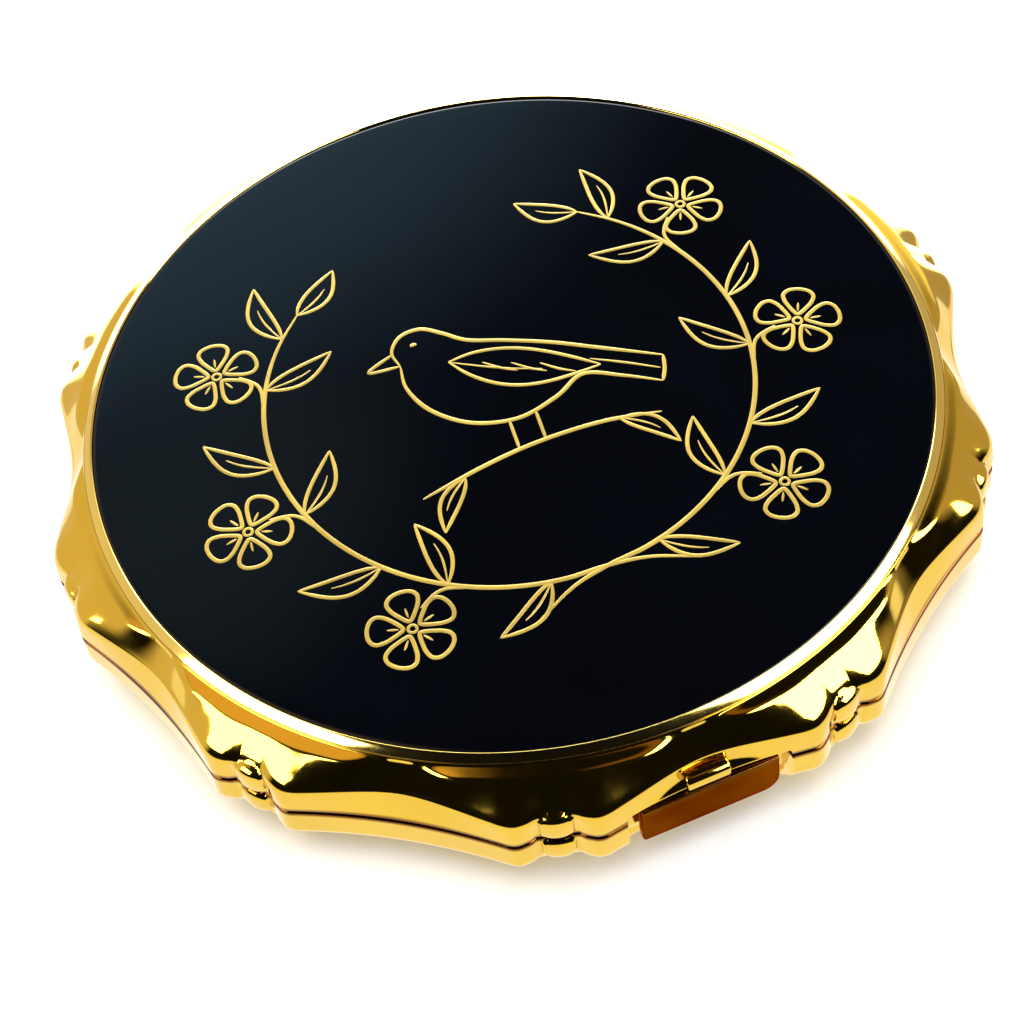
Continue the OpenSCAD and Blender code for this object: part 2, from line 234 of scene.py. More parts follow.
class Shader:
    """A small builder round one material's nodes."""

    def __init__(self, name: str) -> None:
        """Starts a material with only a Principled shader and its output."""
        self.material = bpy.data.materials.new(name)
        self.material.use_nodes = True
        self.tree = self.material.node_tree
        self.tree.nodes.clear()
        self.principled = self.add("ShaderNodeBsdfPrincipled")
        output = self.add("ShaderNodeOutputMaterial")
        self.join(self.principled.outputs["BSDF"], output.inputs["Surface"])

    def add(self, kind: str, **values: object) -> Node:
        """Adds a node; a value goes to the attribute of that name or else to the input socket."""
        node = self.tree.nodes.new(kind)
        for key, value in values.items():
            if hasattr(node, key):
                setattr(node, key, value)
            else:
                node.inputs[key.replace("_", " ")].default_value = value
        return node

    def join(self, source: bpy.types.NodeSocket, target: bpy.types.NodeSocket) -> None:
        """Links two sockets."""
        self.tree.links.new(source, target)

    def set(self, **values: object) -> None:
        """Sets uniform values straight on the shader's own sockets."""
        for key, value in values.items():
            self.principled.inputs[key.replace("_", " ")].default_value = value

    def place(self, scale: Sequence[float] = (1.0, 1.0, 1.0)) -> bpy.types.NodeSocket:
        """Object coordinates, scaled."""
        coordinates = self.add("ShaderNodeTexCoord")
        mapping = self.add("ShaderNodeMapping")
        mapping.inputs["Scale"].default_value = scale
        self.join(coordinates.outputs["Object"], mapping.inputs["Vector"])
        return mapping.outputs["Vector"]

    def noise(self, place: bpy.types.NodeSocket, scale: float, detail: float = 2.0, roughness: float = 0.5) -> Node:
        """A noise texture on the given coordinates."""
        node = self.add("ShaderNodeTexNoise")
        node.inputs["Scale"].default_value = scale
        node.inputs["Detail"].default_value = detail
        node.inputs["Roughness"].default_value = roughness
        self.join(place, node.inputs["Vector"])
        return node

    def spread(self, source: bpy.types.NodeSocket, low: float, high: float) -> bpy.types.NodeSocket:
        """Maps 0..1 to low..high."""
        node = self.add("ShaderNodeMapRange")
        node.inputs["To Min"].default_value = low
        node.inputs["To Max"].default_value = high
        self.join(source, node.inputs["Value"])
        return node.outputs["Result"]

    def tint(self, source: bpy.types.NodeSocket, dark: Sequence[float], light: Sequence[float]) -> None:
        """Colours the surface between two tones by a pattern."""
        ramp = self.add("ShaderNodeValToRGB")
        ramp.color_ramp.elements[0].position = 0.25
        ramp.color_ramp.elements[1].position = 0.75
        ramp.color_ramp.elements[0].color = (*dark, 1.0)
        ramp.color_ramp.elements[1].color = (*light, 1.0)
        self.join(source, ramp.inputs["Fac"])
        self.join(ramp.outputs["Color"], self.principled.inputs["Base Color"])

    def paint_seam_shade(self, middle: float, core: float, fade: float, dark: Sequence[float]) -> None:
        """Paints shade into the base colour in a level band, where the gap between the lid and the case falls in
        shade.

        Args:
            middle: height of the band in millimetres.
            core: half height that is fully dark.
            fade: half height at which the dark has gone.
            dark: the colour of the painted shade.
        """
        coordinates = self.add("ShaderNodeTexCoord")
        split = self.add("ShaderNodeSeparateXYZ")
        self.join(coordinates.outputs["Object"], split.inputs["Vector"])
        offset = self.add("ShaderNodeMath", operation="SUBTRACT")
        offset.inputs[1].default_value = middle * MM
        self.join(split.outputs["Z"], offset.inputs[0])
        size = self.add("ShaderNodeMath", operation="ABSOLUTE")
        self.join(offset.outputs["Value"], size.inputs[0])
        fade_in = self.add("ShaderNodeMapRange", interpolation_type="SMOOTHSTEP")
        fade_in.inputs["From Min"].default_value = core * MM
        fade_in.inputs["From Max"].default_value = fade * MM
        self.join(size.outputs["Value"], fade_in.inputs["Value"])
        mix = self.add("ShaderNodeMix", data_type="RGBA")
        mix.inputs[6].default_value = (*dark, 1.0)
        clean = self.principled.inputs["Base Color"].links[0].from_socket
        self.join(fade_in.outputs["Result"], mix.inputs[0])
        self.join(clean, mix.inputs[7])
        self.join(mix.outputs[2], self.principled.inputs["Base Color"])

    def bump(self, source: bpy.types.NodeSocket, strength: float, distance_mm: float) -> None:
        """Raises the surface by a pattern, chained after any bump made before."""
        node = self.add("ShaderNodeBump")
        node.inputs["Strength"].default_value = strength
        node.inputs["Distance"].default_value = distance_mm * MM
        self.join(source, node.inputs["Height"])
        links = self.principled.inputs["Normal"].links
        if links:
            self.join(links[0].from_socket, node.inputs["Normal"])
        self.join(node.outputs["Normal"], self.principled.inputs["Normal"])


class Polish(Enum):
    """How a metal surface is finished: (roughness, spread of roughness, scratch depth in mm)."""

    MIRROR = (0.07, 0.05, 0.0012)
    BRIGHT = (0.14, 0.07, 0.0020)
    SATIN = (0.30, 0.10, 0.0040)
    TURNED = (0.24, 0.08, 0.0060)


@dataclass(frozen=True)
class Metal:
    """A polished or satin metal: a tone that wanders a little, worn patches and fine hairlines."""

    name: str
    tone: tuple[float, float, float]
    polish: Polish
    wander: float = 0.12
    metallic: float = 1.0
    # Height in millimetres of a band of painted shade along the seam between the lid and the case, or None for no
    # band.
    seam_shade_z: float | None = None
    edge: tuple[float, float, float] = (1.0, 1.0, 1.0)

    def material(self) -> bpy.types.Material:
        """Builds the metal.

        Returns:
            A material whose colour and roughness follow slow noise, and whose bump is stretched noise (hairlines),
            or rings round the axis on turned metal: a sine of the distance from Z.
        """
        rough, spread, depth = self.polish.value
        shader = Shader(self.name)
        place = shader.place()
        slow = shader.noise(place, scale=140.0, detail=3.0)
        dark = tuple(c * (1.0 - self.wander) for c in self.tone)
        shader.tint(slow.outputs["Fac"], dark, self.tone)
        # Painted shade: a dark band at the seam, standing in for the shadow in the gap between the lid and the case.
        if self.seam_shade_z is not None:
            shader.paint_seam_shade(self.seam_shade_z, core=0.17, fade=0.6, dark=SEAM_SHADE_BROWN)
        worn = shader.noise(place, scale=900.0, detail=4.0, roughness=0.6)
        roughness = shader.spread(worn.outputs["Fac"], rough - spread / 2, rough + spread)
        shader.join(roughness, shader.principled.inputs["Roughness"])
        if self.polish is Polish.TURNED:
            rings = shader.add("ShaderNodeTexWave", wave_type="RINGS", rings_direction="Z")
            rings.inputs["Scale"].default_value = 900.0
            rings.inputs["Distortion"].default_value = 0.4
            shader.join(place, rings.inputs["Vector"])
            shader.bump(rings.outputs["Fac"], 0.5, depth)
        hair = shader.noise(shader.place((1.0, 14.0, 1.0)), scale=700.0, detail=2.0)
        shader.bump(hair.outputs["Fac"], 0.4, depth)
        shader.set(Metallic=self.metallic, Specular_Tint=(*self.edge, 1.0))
        return shader.material


@dataclass(frozen=True)
class Enamel:
    """Glossy stoved enamel with a faint orange peel."""

    name: str = "black_enamel"
    colour: tuple[float, float, float] = (0.0005, 0.0007, 0.0013)

    def material(self) -> bpy.types.Material:
        """Builds the enamel: near-black, its gloss broken by fine noise and a very shallow orange-peel bump."""
        shader = Shader(self.name)
        place = shader.place()
        cloud = shader.noise(place, scale=60.0, detail=4.0)
        shader.tint(cloud.outputs["Fac"], self.colour, tuple(c * 1.5 for c in self.colour))
        fine = shader.noise(place, scale=2400.0, detail=2.0)
        shader.join(shader.spread(fine.outputs["Fac"], 0.05, 0.10), shader.principled.inputs["Roughness"])
        peel = shader.noise(place, scale=520.0, detail=1.0)
        shader.bump(peel.outputs["Fac"], 0.25, 0.004)
        shader.set(Specular_IOR_Level=0.35)
        return shader.material


@dataclass(frozen=True)
class Cloth:
    """A woven, napped or plain cloth."""

    name: str
    tone: tuple[float, float, float]
    threads_per_mm: float
    nap: float = 0.0
    gloss: float = 0.8

    def material(self) -> bpy.types.Material:
        """Builds the cloth: crossed sine threads, or a nap of fine noise, with sheen."""
        shader = Shader(self.name)
        place = shader.place()
        tufts = shader.noise(place, scale=1500.0, detail=4.0, roughness=0.7)
        mottle = shader.noise(place, scale=220.0, detail=3.0)
        shader.tint(mottle.outputs["Fac"], tuple(c * 0.82 for c in self.tone), self.tone)
        # A wave texture runs through 20 times its scale in radians each metre, and one whole turn is two threads.
        scale = self.threads_per_mm / MM * math.pi / 20.0
        for axis in ("X", "Y"):
            wave = shader.add("ShaderNodeTexWave", wave_type="BANDS", bands_direction=axis)
            wave.inputs["Scale"].default_value = scale
            shader.join(place, wave.inputs["Vector"])
            shader.bump(wave.outputs["Fac"], 0.35 * (1.0 - self.nap), 0.06)
        shader.bump(tufts.outputs["Fac"], 0.6 * self.nap + 0.05, 0.25)
        shader.set(Roughness=self.gloss, Sheen_Weight=0.5 + 0.4 * self.nap, Sheen_Roughness=0.4)
        return shader.material


@dataclass(frozen=True)
class Silvering:
    """Silvered mirror glass."""

    name: str = "mirror_silver"

    def material(self) -> bpy.types.Material:
        """Builds the mirror: a bright neutral metal, nearly smooth, with the faintest haze."""
        shader = Shader(self.name)
        haze = shader.noise(shader.place(), scale=90.0, detail=3.0)
        shader.tint(haze.outputs["Fac"], (0.86, 0.88, 0.89), (0.92, 0.93, 0.94))
        shader.join(shader.spread(haze.outputs["Fac"], 0.015, 0.04), shader.principled.inputs["Roughness"])
        shader.set(Metallic=1.0)
        return shader.material


@dataclass(frozen=True)
class Card:
    """Pressed brown card behind the mirror."""

    name: str = "backing_card"
    tone: tuple[float, float, float] = (0.22, 0.13, 0.07)

    def material(self) -> bpy.types.Material:
        """Builds the card: fibrous mottling and a rough, matt surface."""
        shader = Shader(self.name)
        place = shader.place((1.0, 3.0, 1.0))
        fibre = shader.noise(place, scale=800.0, detail=5.0, roughness=0.7)
        shader.tint(fibre.outputs["Fac"], tuple(c * 0.7 for c in self.tone), self.tone)
        shader.bump(fibre.outputs["Fac"], 0.4, 0.05)
        shader.set(Roughness=0.85)
        return shader.material


Finish = Metal | Enamel | Cloth | Silvering | Card

GILT = (0.70, 0.46, 0.056)
# Painted shade: the colour of the dark line where the lid meets the case.
SEAM_SHADE_BROWN = (0.14, 0.045, 0.003)
WARM_GILT = (0.64, 0.38, 0.05)
PALE_GILT = (0.80, 0.59, 0.15)


@dataclass(frozen=True)
class Finishes:
    """Every finish of the compact, built once."""

    case: Metal = Metal("gilt_case", GILT, Polish.MIRROR, seam_shade_z=6.95)
    lid: Metal = Metal("gilt_lid", GILT, Polish.MIRROR, 0.08, seam_shade_z=7.05)
    bezel: Metal = Metal("gilt_bezel", PALE_GILT, Polish.MIRROR, 0.08)
    inside: Metal = Metal("gilt_inside", WARM_GILT, Polish.SATIN)
    inner_lid: Metal = Metal("gilt_inner_lid", GILT, Polish.TURNED)
    ring: Metal = Metal("gilt_ring", PALE_GILT, Polish.BRIGHT)
    hinge: Metal = Metal("gilt_hinge", GILT, Polish.BRIGHT, 0.2)
    # The catch plate's tone is painted dark brown, a painted reflection of a dark surround, far darker than the
    # gilt's own colour.
    catch: Metal = Metal("gilt_catch", (0.17, 0.060, 0.011), Polish.BRIGHT, 0.5, edge=(0.6, 0.35, 0.2))
    lip: Metal = Metal("gilt_lip", GILT, Polish.MIRROR)
    line: Metal = Metal("cut_line", (0.50, 0.35, 0.06), Polish.SATIN, 0.45, metallic=0.35)
    pin: Metal = Metal("pin_metal", (0.62, 0.60, 0.56), Polish.BRIGHT)
    spring: Metal = Metal("spring_metal", (0.56, 0.56, 0.54), Polish.SATIN)
    enamel: Enamel = Enamel()
    mirror: Silvering = Silvering()
    card: Card = Card()
    gauze: Cloth = Cloth("gauze", (0.80, 0.76, 0.68), 4.0)
    velour: Cloth = Cloth("velour", (0.88, 0.66, 0.56), 1.0, nap=1.0, gloss=0.95)
    satin: Cloth = Cloth("satin", (0.84, 0.50, 0.46), 5.0, gloss=0.35)
    ribbon: Cloth = Cloth("ribbon", (0.78, 0.38, 0.36), 5.0, gloss=0.3)


@dataclass
class Workshop:
    """Dresses pieces and hangs them on their bodies."""

    finishes: Finishes = field(default_factory=Finishes)
    made: dict[str, bpy.types.Material] = field(default_factory=dict)

    def finish(self, finish: Finish) -> bpy.types.Material:
        """The material of a finish, built the first time it is asked for."""
        if finish.name not in self.made:
            self.made[finish.name] = finish.material()
        return self.made[finish.name]

    def fit(self, piece: Piece, body: Body, slot: str, finish: Finish, nodes: Iterable[str] = ()) -> Piece:
        """Dresses a piece, hangs it on its body and logs it.

        Args:
            piece: the finished mesh.
            body: the body it rides on.
            slot: the record's material slot; not used.
            finish: what it is dressed in.
            nodes: the CAD nodes it stands for.

        Returns:
            The piece.
        """
        piece.data.materials.clear()
        piece.data.materials.append(self.finish(finish))
        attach(piece, body.value)
        names = list(nodes)
        if names:
            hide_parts(*names)
        LOG.info("%s on %s, %d faces, for %s", piece.name, body.value, len(piece.data.polygons), names or "itself")
        return piece

    def ease(self, node: str, name: str, edge_mm: float, body: Body, slot: str, finish: Finish) -> None:
        """Fits a softened copy of a CAD node in that node's place."""
        self.fit(self.softened(node, name, edge_mm), body, slot, finish, [node])

    def dress_node(self, node: str, finish: Finish) -> None:
        """Gives a CAD node that stays in view its finish."""
        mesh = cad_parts[node].data
        mesh.materials.clear()
        mesh.materials.append(self.finish(finish))
        LOG.info("%s kept, dressed in %s", node, finish.name)

    def softened(self, node: str, name: str, edge_mm: float) -> Piece:
        """A copy of a CAD node with its edges eased.

        Args:
            node: the CAD node.
            name: the new piece's name.
            edge_mm: width of the bevel on its sharp edges.

        Returns:
            The new object, with doubles merged and a live Bevel of three segments.
        """
        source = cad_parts[node]
        mesh = source.data.copy()
        mesh.name = name
        work = bmesh.new()
        work.from_mesh(mesh)
        bmesh.ops.remove_doubles(work, verts=work.verts, dist=1e-6)
        bmesh.ops.dissolve_limit(work, angle_limit=math.radians(0.5), verts=work.verts, edges=work.edges)
        bmesh.ops.recalc_face_normals(work, faces=work.faces)
        work.to_mesh(mesh)
        work.free()
        if "custom_normal" in mesh.attributes:
            mesh.attributes.remove(mesh.attributes["custom_normal"])
        mesh.shade_smooth()
        mesh.set_sharp_from_angle(angle=SHARP_ANGLE)
        piece = bpy.data.objects.new(name, mesh)
        bpy.context.scene.collection.objects.link(piece)
        bevel = piece.modifiers.new("eased_edges", "BEVEL")
        bevel.width = edge_mm * MM
        bevel.segments = 3
        bevel.limit_method = "ANGLE"
        bevel.angle_limit = SHARP_ANGLE
        return piece


# ---- Rim ----


@dataclass(frozen=True)
class PiecrustRim:
    """The outline that the case and the lid share: bowed sides, corners, and a beaded notch between corners."""

    lobes: int = 10
    corner_radius: float = 41.13
    side_bow: float = 0.75
    corner_angle: float = 5.0
    notch_radius: float = 40.22
    shoulder_lean: float = 0.9
    recess_distance: float = 38.5
    recess_half_angle: float = 10.0
    bead_half_angle: float = 2.0
    bead_rise: float = 0.62
    groove_depth: float = 0.16
    groove_angle: float = 2.4
    groove_width: float = 0.4
    dense_half_angle: float = 6.8
    dense_step: float = 0.2
    wide_step: float = 0.85

    @property
    def pitch(self) -> float:
        """Angle from one notch to the next."""
        return 360.0 / self.lobes

    def angles(self) -> Array:
        """Sample angles round the rim, close together near each notch and at the ends of the catch's recess."""
        half = self.dense_half_angle
        near = np.arange(-half, half, self.dense_step)
        far = np.arange(half, self.pitch - half, self.wide_step)
        lobe = np.concatenate([near, far])
        all_lobes = (np.arange(self.lobes)[:, None] * self.pitch + lobe[None]).ravel()
        past = self.recess_half_angle + np.linspace(-0.1, 0.25, 6)
        ends = CATCH_ANGLE + np.array([-1.0, 1.0])[:, None] * past[None]
        return np.unique(np.round(np.concatenate([all_lobes % 360.0, ends.ravel()]), 4))

    def from_notch(self, a: Array) -> Array:
        """Angle to the nearest notch."""
        return np.abs(a - self.pitch * np.round(a / self.pitch))

    def radius(self, a: Array, blend: float = 0.5, grooves: float = 1.0) -> Array:
        """Radius of the rim, without its beads.

        A side is a parabola on the chord between two corners: (y + bow (tan p / tan end)^2) / cos p, with p counted
        from the side's middle. A notch is a floor that rises slowly from its middle. The smaller of the two is
        taken, rounded where they cross.

        Args:
            a: angles.
            blend: how wide the rounding is.
            grooves: share of the fine groove on each side of a bead.

        Returns:
            The radii.
        """
        p = self.from_notch(a)
        end = math.radians(self.pitch / 2 - self.corner_angle)
        side_y = self.corner_radius * math.cos(end) - self.side_bow
        q = np.radians(self.pitch / 2 - p)
        side = (side_y + self.side_bow * (np.tan(q) / math.tan(end)) ** 2) / np.cos(q)
        groove = self.groove_depth * grooves * np.exp(-(((p - self.groove_angle) / self.groove_width) ** 2))
        notch = self.notch_radius + 0.3 * np.maximum(0.0, p - 1.4) - groove
        return soft_min(side, notch, blend)

    def bead(self, a: Array, z: Array, middle: float, half_height: float) -> Array:
        """Height of the upright bead in each notch: rise times sqrt(1 - u^2 - v^4) of the shares across and up."""
        u = self.from_notch(a) / self.bead_half_angle
        v = (z - middle) / half_height
        return self.bead_rise * np.sqrt(np.clip(1.0 - u * u - v**4, 0.0, 1.0))

    def lean(self, a: Array) -> Array:
        """How far the lid's shoulder leans in: nothing at the corners, most at the middle of a side."""
        p = self.from_notch(a)
        return self.shoulder_lean * smoothstep(p, self.corner_angle, self.pitch / 2)

    def in_recess(self, a: Array) -> Array:
        """1 across the recess behind the catch, 0 elsewhere, with a short ramp at its ends."""
        return 1.0 - smoothstep(np.abs(a - CATCH_ANGLE), self.recess_half_angle - 0.02, self.recess_half_angle + 0.16)

    def recessed(self, a: Array, inset: float, share: float = 1.0) -> Array:
        """Radius with the catch's recess cut in, to a flat at the recess's distance from the axis."""
        flat = np.minimum(self.radius(a), self.recess_distance / np.cos(np.radians(a - CATCH_ANGLE)))
        w = self.in_recess(a) * share
        return self.radius(a) * (1 - w) + np.where(w > 0, flat, 0.0) * w - inset

    @staticmethod
    def ring(a: Array, r: Array | float, z: Array | float) -> Array:
        """A ring of points at the given radii and heights."""
        t = np.radians(a)
        r = np.broadcast_to(r, a.shape)
        return np.stack([r * np.cos(t), r * np.sin(t), np.broadcast_to(z, a.shape)], -1)

    def filled(self, a: Array, stack: Sequence[tuple], wall: float) -> tuple[Array, slice]:
        """Turns a list of control rows into a dense stack of rings.

        Args:
            a: angles.
            stack: rows of (radius, height, fillet, extra rings on the run after it).
            wall: radius that the outer wall's rings exceed on average.

        Returns:
            The rings, and the rows that make the outer wall.
        """
        control = np.stack([self.ring(a, r, z) for r, z, _, _ in stack])
        rings = filleted(control, [fillet for _, _, fillet, _ in stack], 5, [extra for _, _, _, extra in stack])
        outer = np.nonzero(np.hypot(rings[..., 0], rings[..., 1]).mean(1) > wall)[0]
        return rings, slice(int(outer[0]), int(outer[-1]) + 1)


def with_beads(rings: Array, a: Array, rim: PiecrustRim, middle: float, half_height: float, rows: slice) -> Array:
    """Pushes the wall's rows out by the beads' height along their own radius."""
    out = rings.copy()
    part = out[rows]
    rise = rim.bead(a[None], part[..., 2], middle, half_height)
    reach = np.hypot(part[..., 0], part[..., 1])
    part[..., :2] *= (1.0 + rise / reach)[..., None]
    out[rows] = part
    return out


# ---- Lid ----


@dataclass(frozen=True)
class Dome:
    """The enamel's crown: z = edge + rise (1 - (r / radius)^2)."""

    radius: float = 36.0
    edge_z: float = 12.96
    rise: float = 1.16
    thickness: float = 0.5

    def height(self, r: Array) -> Array:
        """Height of the crown at a distance from the axis."""
        return self.edge_z + self.rise * (1.0 - (np.asarray(r) / self.radius) ** 2)


@dataclass
class Lid:
    """The lid: lobed shell, bezel, enamel, engraving, thumb lip, hook, mirror and hinge knuckles."""

    shop: Workshop
    rim: PiecrustRim = field(default_factory=PiecrustRim)
    dome: Dome = field(default_factory=Dome)
    bottom: float = 7.1
    recess_bottom: float = 7.75
    shoulder_z: float = 10.0
    band_radius: float = 38.0
    seat_radius: float = 36.85
    sheet: float = 0.6
    seat_step_z: float = 12.36
    seat_top: float = 12.5
    mirror_z: float = 9.3
    mirror_radius: float = 33.4
    scoop: float = 0.25
    wall_share: float = 0.4

    def shoulder(self, a: Array, inset: float) -> Array:
        """Radius of the shoulder, which follows the rim and leans in between its corners."""
        return self.rim.radius(a, 1.3, 0.0) - self.rim.lean(a) - inset

    def band(self, a: Array, inset: float) -> Array:
        """Radius of the band's outer crease, pinched where the sides come close."""
        pinch = 0.7 + 0.8 * self.rim.lean(a) / self.rim.shoulder_lean
        return soft_min(self.band_radius, self.rim.radius(a, 2.5, 0.0) - self.rim.lean(a) - pinch, 0.6) - inset

    def under_plate(self, r: float) -> float:
        """Height of the enamel disc's underside at a distance from the axis."""
        return float(self.dome.height(r)) - self.dome.thickness

    def shell(self) -> Piece:
        """The lid's pressed shell, one closed skin from the ceiling inside, round the lip, to the seat on top."""
        a = self.rim.angles()
        sheet, seat = self.sheet, self.dome.edge_z - self.dome.thickness
        low_z = self.bottom + (self.recess_bottom - self.bottom) * self.rim.in_recess(a)
        open_ = 1.0 - self.rim.lean(a) / self.rim.shoulder_lean
        crown = self.under_plate
        stack = [
            (0.5, crown(0.5) - sheet, 0.0, 2),
            (24.0, crown(24.0) - sheet, 0.0, 1),
            (self.dome.radius - 0.1, crown(self.dome.radius) - sheet, 0.4, 1),
            (self.band(a, 0.45), 11.45, 0.3, 1),
            (self.shoulder(a, sheet + 0.25), 9.85, 0.4, 1),
            (self.rim.radius(a) - self.wall_share * self.rim.lean(a) - sheet, 8.3, 0.3, 1),
            (self.rim.radius(a) - sheet, low_z, 0.0, 0),
            (self.rim.radius(a), low_z, 0.22, 6),
            (self.rim.radius(a) - self.wall_share * self.rim.lean(a), 8.3, 0.7, 6),
            (self.shoulder(a, 0.0), self.shoulder_z - 0.05 - 0.3 * open_, 0.5, 0),
            (self.shoulder(a, 0.18 + 0.3 * open_), self.shoulder_z + 0.15 + 0.25 * open_, 0.5, 3),
            (self.band(a, 0.0), 12.1, 0.3, 2),
            (self.seat_radius + 0.08, self.seat_step_z, 0.08, 0),
            (self.seat_radius, self.seat_top, 0.05, 0),
            (self.seat_radius - 0.15, self.seat_top, 0.0, 0),
            (self.seat_radius - 0.15, seat, 0.0, 0),
            (self.dome.radius, seat, 0.0, 1),
            (24.0, crown(24.0) - 0.03, 0.0, 2),
            (0.5, crown(0.5) - 0.03, 0.0, 0),
        ]
        rings, rows = self.rim.filled(a, stack, wall=39.55)
        rings = self.scooped(with_beads(rings, a, self.rim, 8.55, 1.55, rows), a, rows)
        return ring_skin("lid_shell_piecrust", rings, poles=True)

    def scooped(self, rings: Array, a: Array, rows: slice) -> Array:
        """Hollows the wall above the catch for a thumbnail.

        The depth is scoop times cos^2 across the catch times sin^2 up the wall, taken off each point's radius.
        """
        out = rings.copy()
        part = out[rows]
        across = np.cos(0.5 * np.pi * np.clip((a - CATCH_ANGLE) / 9.0, -1.0, 1.0)) ** 2
        up = np.sin(np.pi * np.clip((part[..., 2] - 7.6) / 2.3, 0.0, 1.0)) ** 2
        reach = np.hypot(part[..., 0], part[..., 1])
        part[..., :2] *= (1.0 - self.scoop * across[None] * up / reach)[..., None]
        out[rows] = part
        return out

    def bezel(self) -> Piece:
        """The bright ring round the enamel."""
        z, r0, r1 = self.dome.edge_z, 36.02, self.seat_radius - 0.07
        return turned(
            "bezel_bright_ring",
            [(r0, z - 0.44, 0.0), (r1, z - 0.44, 0.0), (r1, z - 0.4, 0.02), (r0 + 0.13, z + 0.14, 0.03),
             (r0, z + 0.03, 0.02)],
            cols=512,
        )

    def enamel(self) -> Piece:
        """The crowned enamel disc, pole to pole."""
        d = self.dome
        top = [(r, float(d.height(r)), 0.0) for r in np.linspace(34.0, 0.6, 40)]
        edge = [(0.0, d.height(0) - d.thickness, 0.0), (0.6, float(d.height(0.6)) - d.thickness, 0.0),
                (d.radius - 0.02, d.edge_z - d.thickness, 0.05), (d.radius - 0.02, d.edge_z - 0.05, 0.08),
                (d.radius - 0.3, d.edge_z + 0.01, 0.15)]
        return turned("enamel_disc", [*edge, *top, (0.0, float(d.height(0.0)), 0.0)], cols=512)

    def build(self) -> None:
        """Makes and fits every piece of the lid."""
        f, fit, ease = self.shop.finishes, self.shop.fit, self.shop.ease
        fit(self.shell(), Body.LID, "gilt_lid", f.lid, ["lid_shell"])
        fit(self.bezel(), Body.LID, "gilt_bezel", f.bezel, ["bezel_ring"])
        fit(self.enamel(), Body.LID, "black_enamel", f.enamel, ["enamel_plate"])
        fit(Engraving(self.dome).piece(), Body.LID, "black_enamel", f.line)
        ease("thumb_lip", "thumb_lip_eased", 0.22, Body.LID, "gilt_lip", f.lip)
        ease("lid_hook", "lid_hook_eased", 0.06, Body.LID, "spring_metal", f.spring)
        ease("lid_hinge_knuckles", "lid_knuckles_eased", 0.08, Body.LID, "gilt_hinge", f.hinge)
        self.mirror()

    def mirror(self) -> None:
        """The mirror, its card and its retaining ring."""
        f, fit = self.shop.finishes, self.shop.fit
        z, r = self.mirror_z, self.mirror_radius
        glass = turned("mirror_pane", [(0.0, z, 0.0), (r - 0.35, z, 0.1), (r - 0.02, z + 0.2, 0.08),
                                       (r - 0.02, z + 1.18, 0.0), (0.0, z + 1.18, 0.0)], cols=384)
        fit(glass, Body.LID, "mirror", f.mirror, ["mirror_glass"])
        card = turned("mirror_card", [(0.0, z + 1.2, 0.0), (r - 0.05, z + 1.2, 0.05), (r - 0.05, z + 1.88, 0.1),
                                      (0.0, z + 1.88, 0.0)])
        fit(card, Body.LID, "card", f.card, ["mirror_backing"])
        ring = turned("mirror_retaining_ring", [
            (r - 0.88, z - 0.02, 0.03), (r - 0.88, z - 0.2, 0.06), (r - 0.5, z - 0.39, 0.15),
            (r + 0.9, z - 0.39, 0.2), (r + 1.18, z - 0.1, 0.1), (r + 1.18, z + 2.0, 0.03),
            (r + 0.02, z + 2.0, 0.03), (r + 0.02, z - 0.02, 0.03),
        ], cols=384)
        fit(ring, Body.LID, "gilt_ring", f.ring, ["mirror_ring"])


# ---- Engraving ----

Point = tuple[float, float]


@dataclass(frozen=True)
class Stroke:
    """One cut line: the points it passes through, its width, and how far in each end thins away."""

    points: tuple[Point, ...] | Array
    width: float = 0.42
    thin: float = 0.18
    closed: bool = False

    def path(self, step: float = 0.16) -> Array:
        """The line as evenly spaced points: a Catmull-Rom curve through the points, resampled by length."""
        p = np.asarray(self.points, float)
        before, after = (p[-1:], p[:2]) if self.closed else (2 * p[:1] - p[1:2], 2 * p[-1:] - p[-2:-1])
        p = np.concatenate([before, p, after])
        t = np.linspace(0, 1, 14, endpoint=False)[:, None]
        a, b, c, d = (p[k : len(p) - 3 + k, None] for k in range(4))
        curve = 0.5 * (2 * b + (c - a) * t + (2 * a - 5 * b + 4 * c - d) * t**2 + (3 * b - a - 3 * c + d) * t**3)
        curve = np.concatenate([curve.reshape(-1, 2), p[-2:-1]])
        along = np.concatenate([[0.0], np.cumsum(np.hypot(*np.diff(curve, axis=0).T))])
        s = np.linspace(0.0, along[-1], max(4, int(along[-1] / step) + 2))
        return np.stack([np.interp(s, along, curve[:, k]) for k in range(2)], -1)


def petal(centre: Point, size: float, turn: float) -> Stroke:
    """A plain drop-shaped petal that points away from the flower's heart, along turn in degrees."""
    ring = np.linspace(0.0, 2 * np.pi, 13)[:-1]
    out = size * (0.6 + 0.4 * np.cos(ring))
    across = size * 0.5 * np.sin(ring) * (0.62 + 0.38 * np.cos(ring))
    c, s = math.cos(math.radians(turn)), math.sin(math.radians(turn))
    xy = np.stack([centre[0] + out * c - across * s, centre[1] + out * s + across * c], -1)
    return Stroke(xy, 0.42, 0.0, closed=True)


def blossom(centre: Point, size: float, turn: float, petals: int = 5) -> list[Stroke]:
    """A flower of equal petals, with a ring at its heart and a short ray up each petal."""
    turns = turn + np.arange(petals) * 360.0 / petals
    strokes = [petal(centre, size, float(t)) for t in turns]
    ring = np.radians(np.linspace(0, 360, 9)[:-1])
    heart = np.stack([centre[0] + 0.1 * size * np.cos(ring), centre[1] + 0.1 * size * np.sin(ring)], -1)
    strokes.append(Stroke(heart, 0.3, 0.0, closed=True))
    for t in np.radians(turns):
        ray = [(centre[0] + k * size * math.cos(t), centre[1] + k * size * math.sin(t)) for k in (0.3, 0.43, 0.56)]
        strokes.append(Stroke(tuple(ray), 0.26, 0.5))
    return strokes


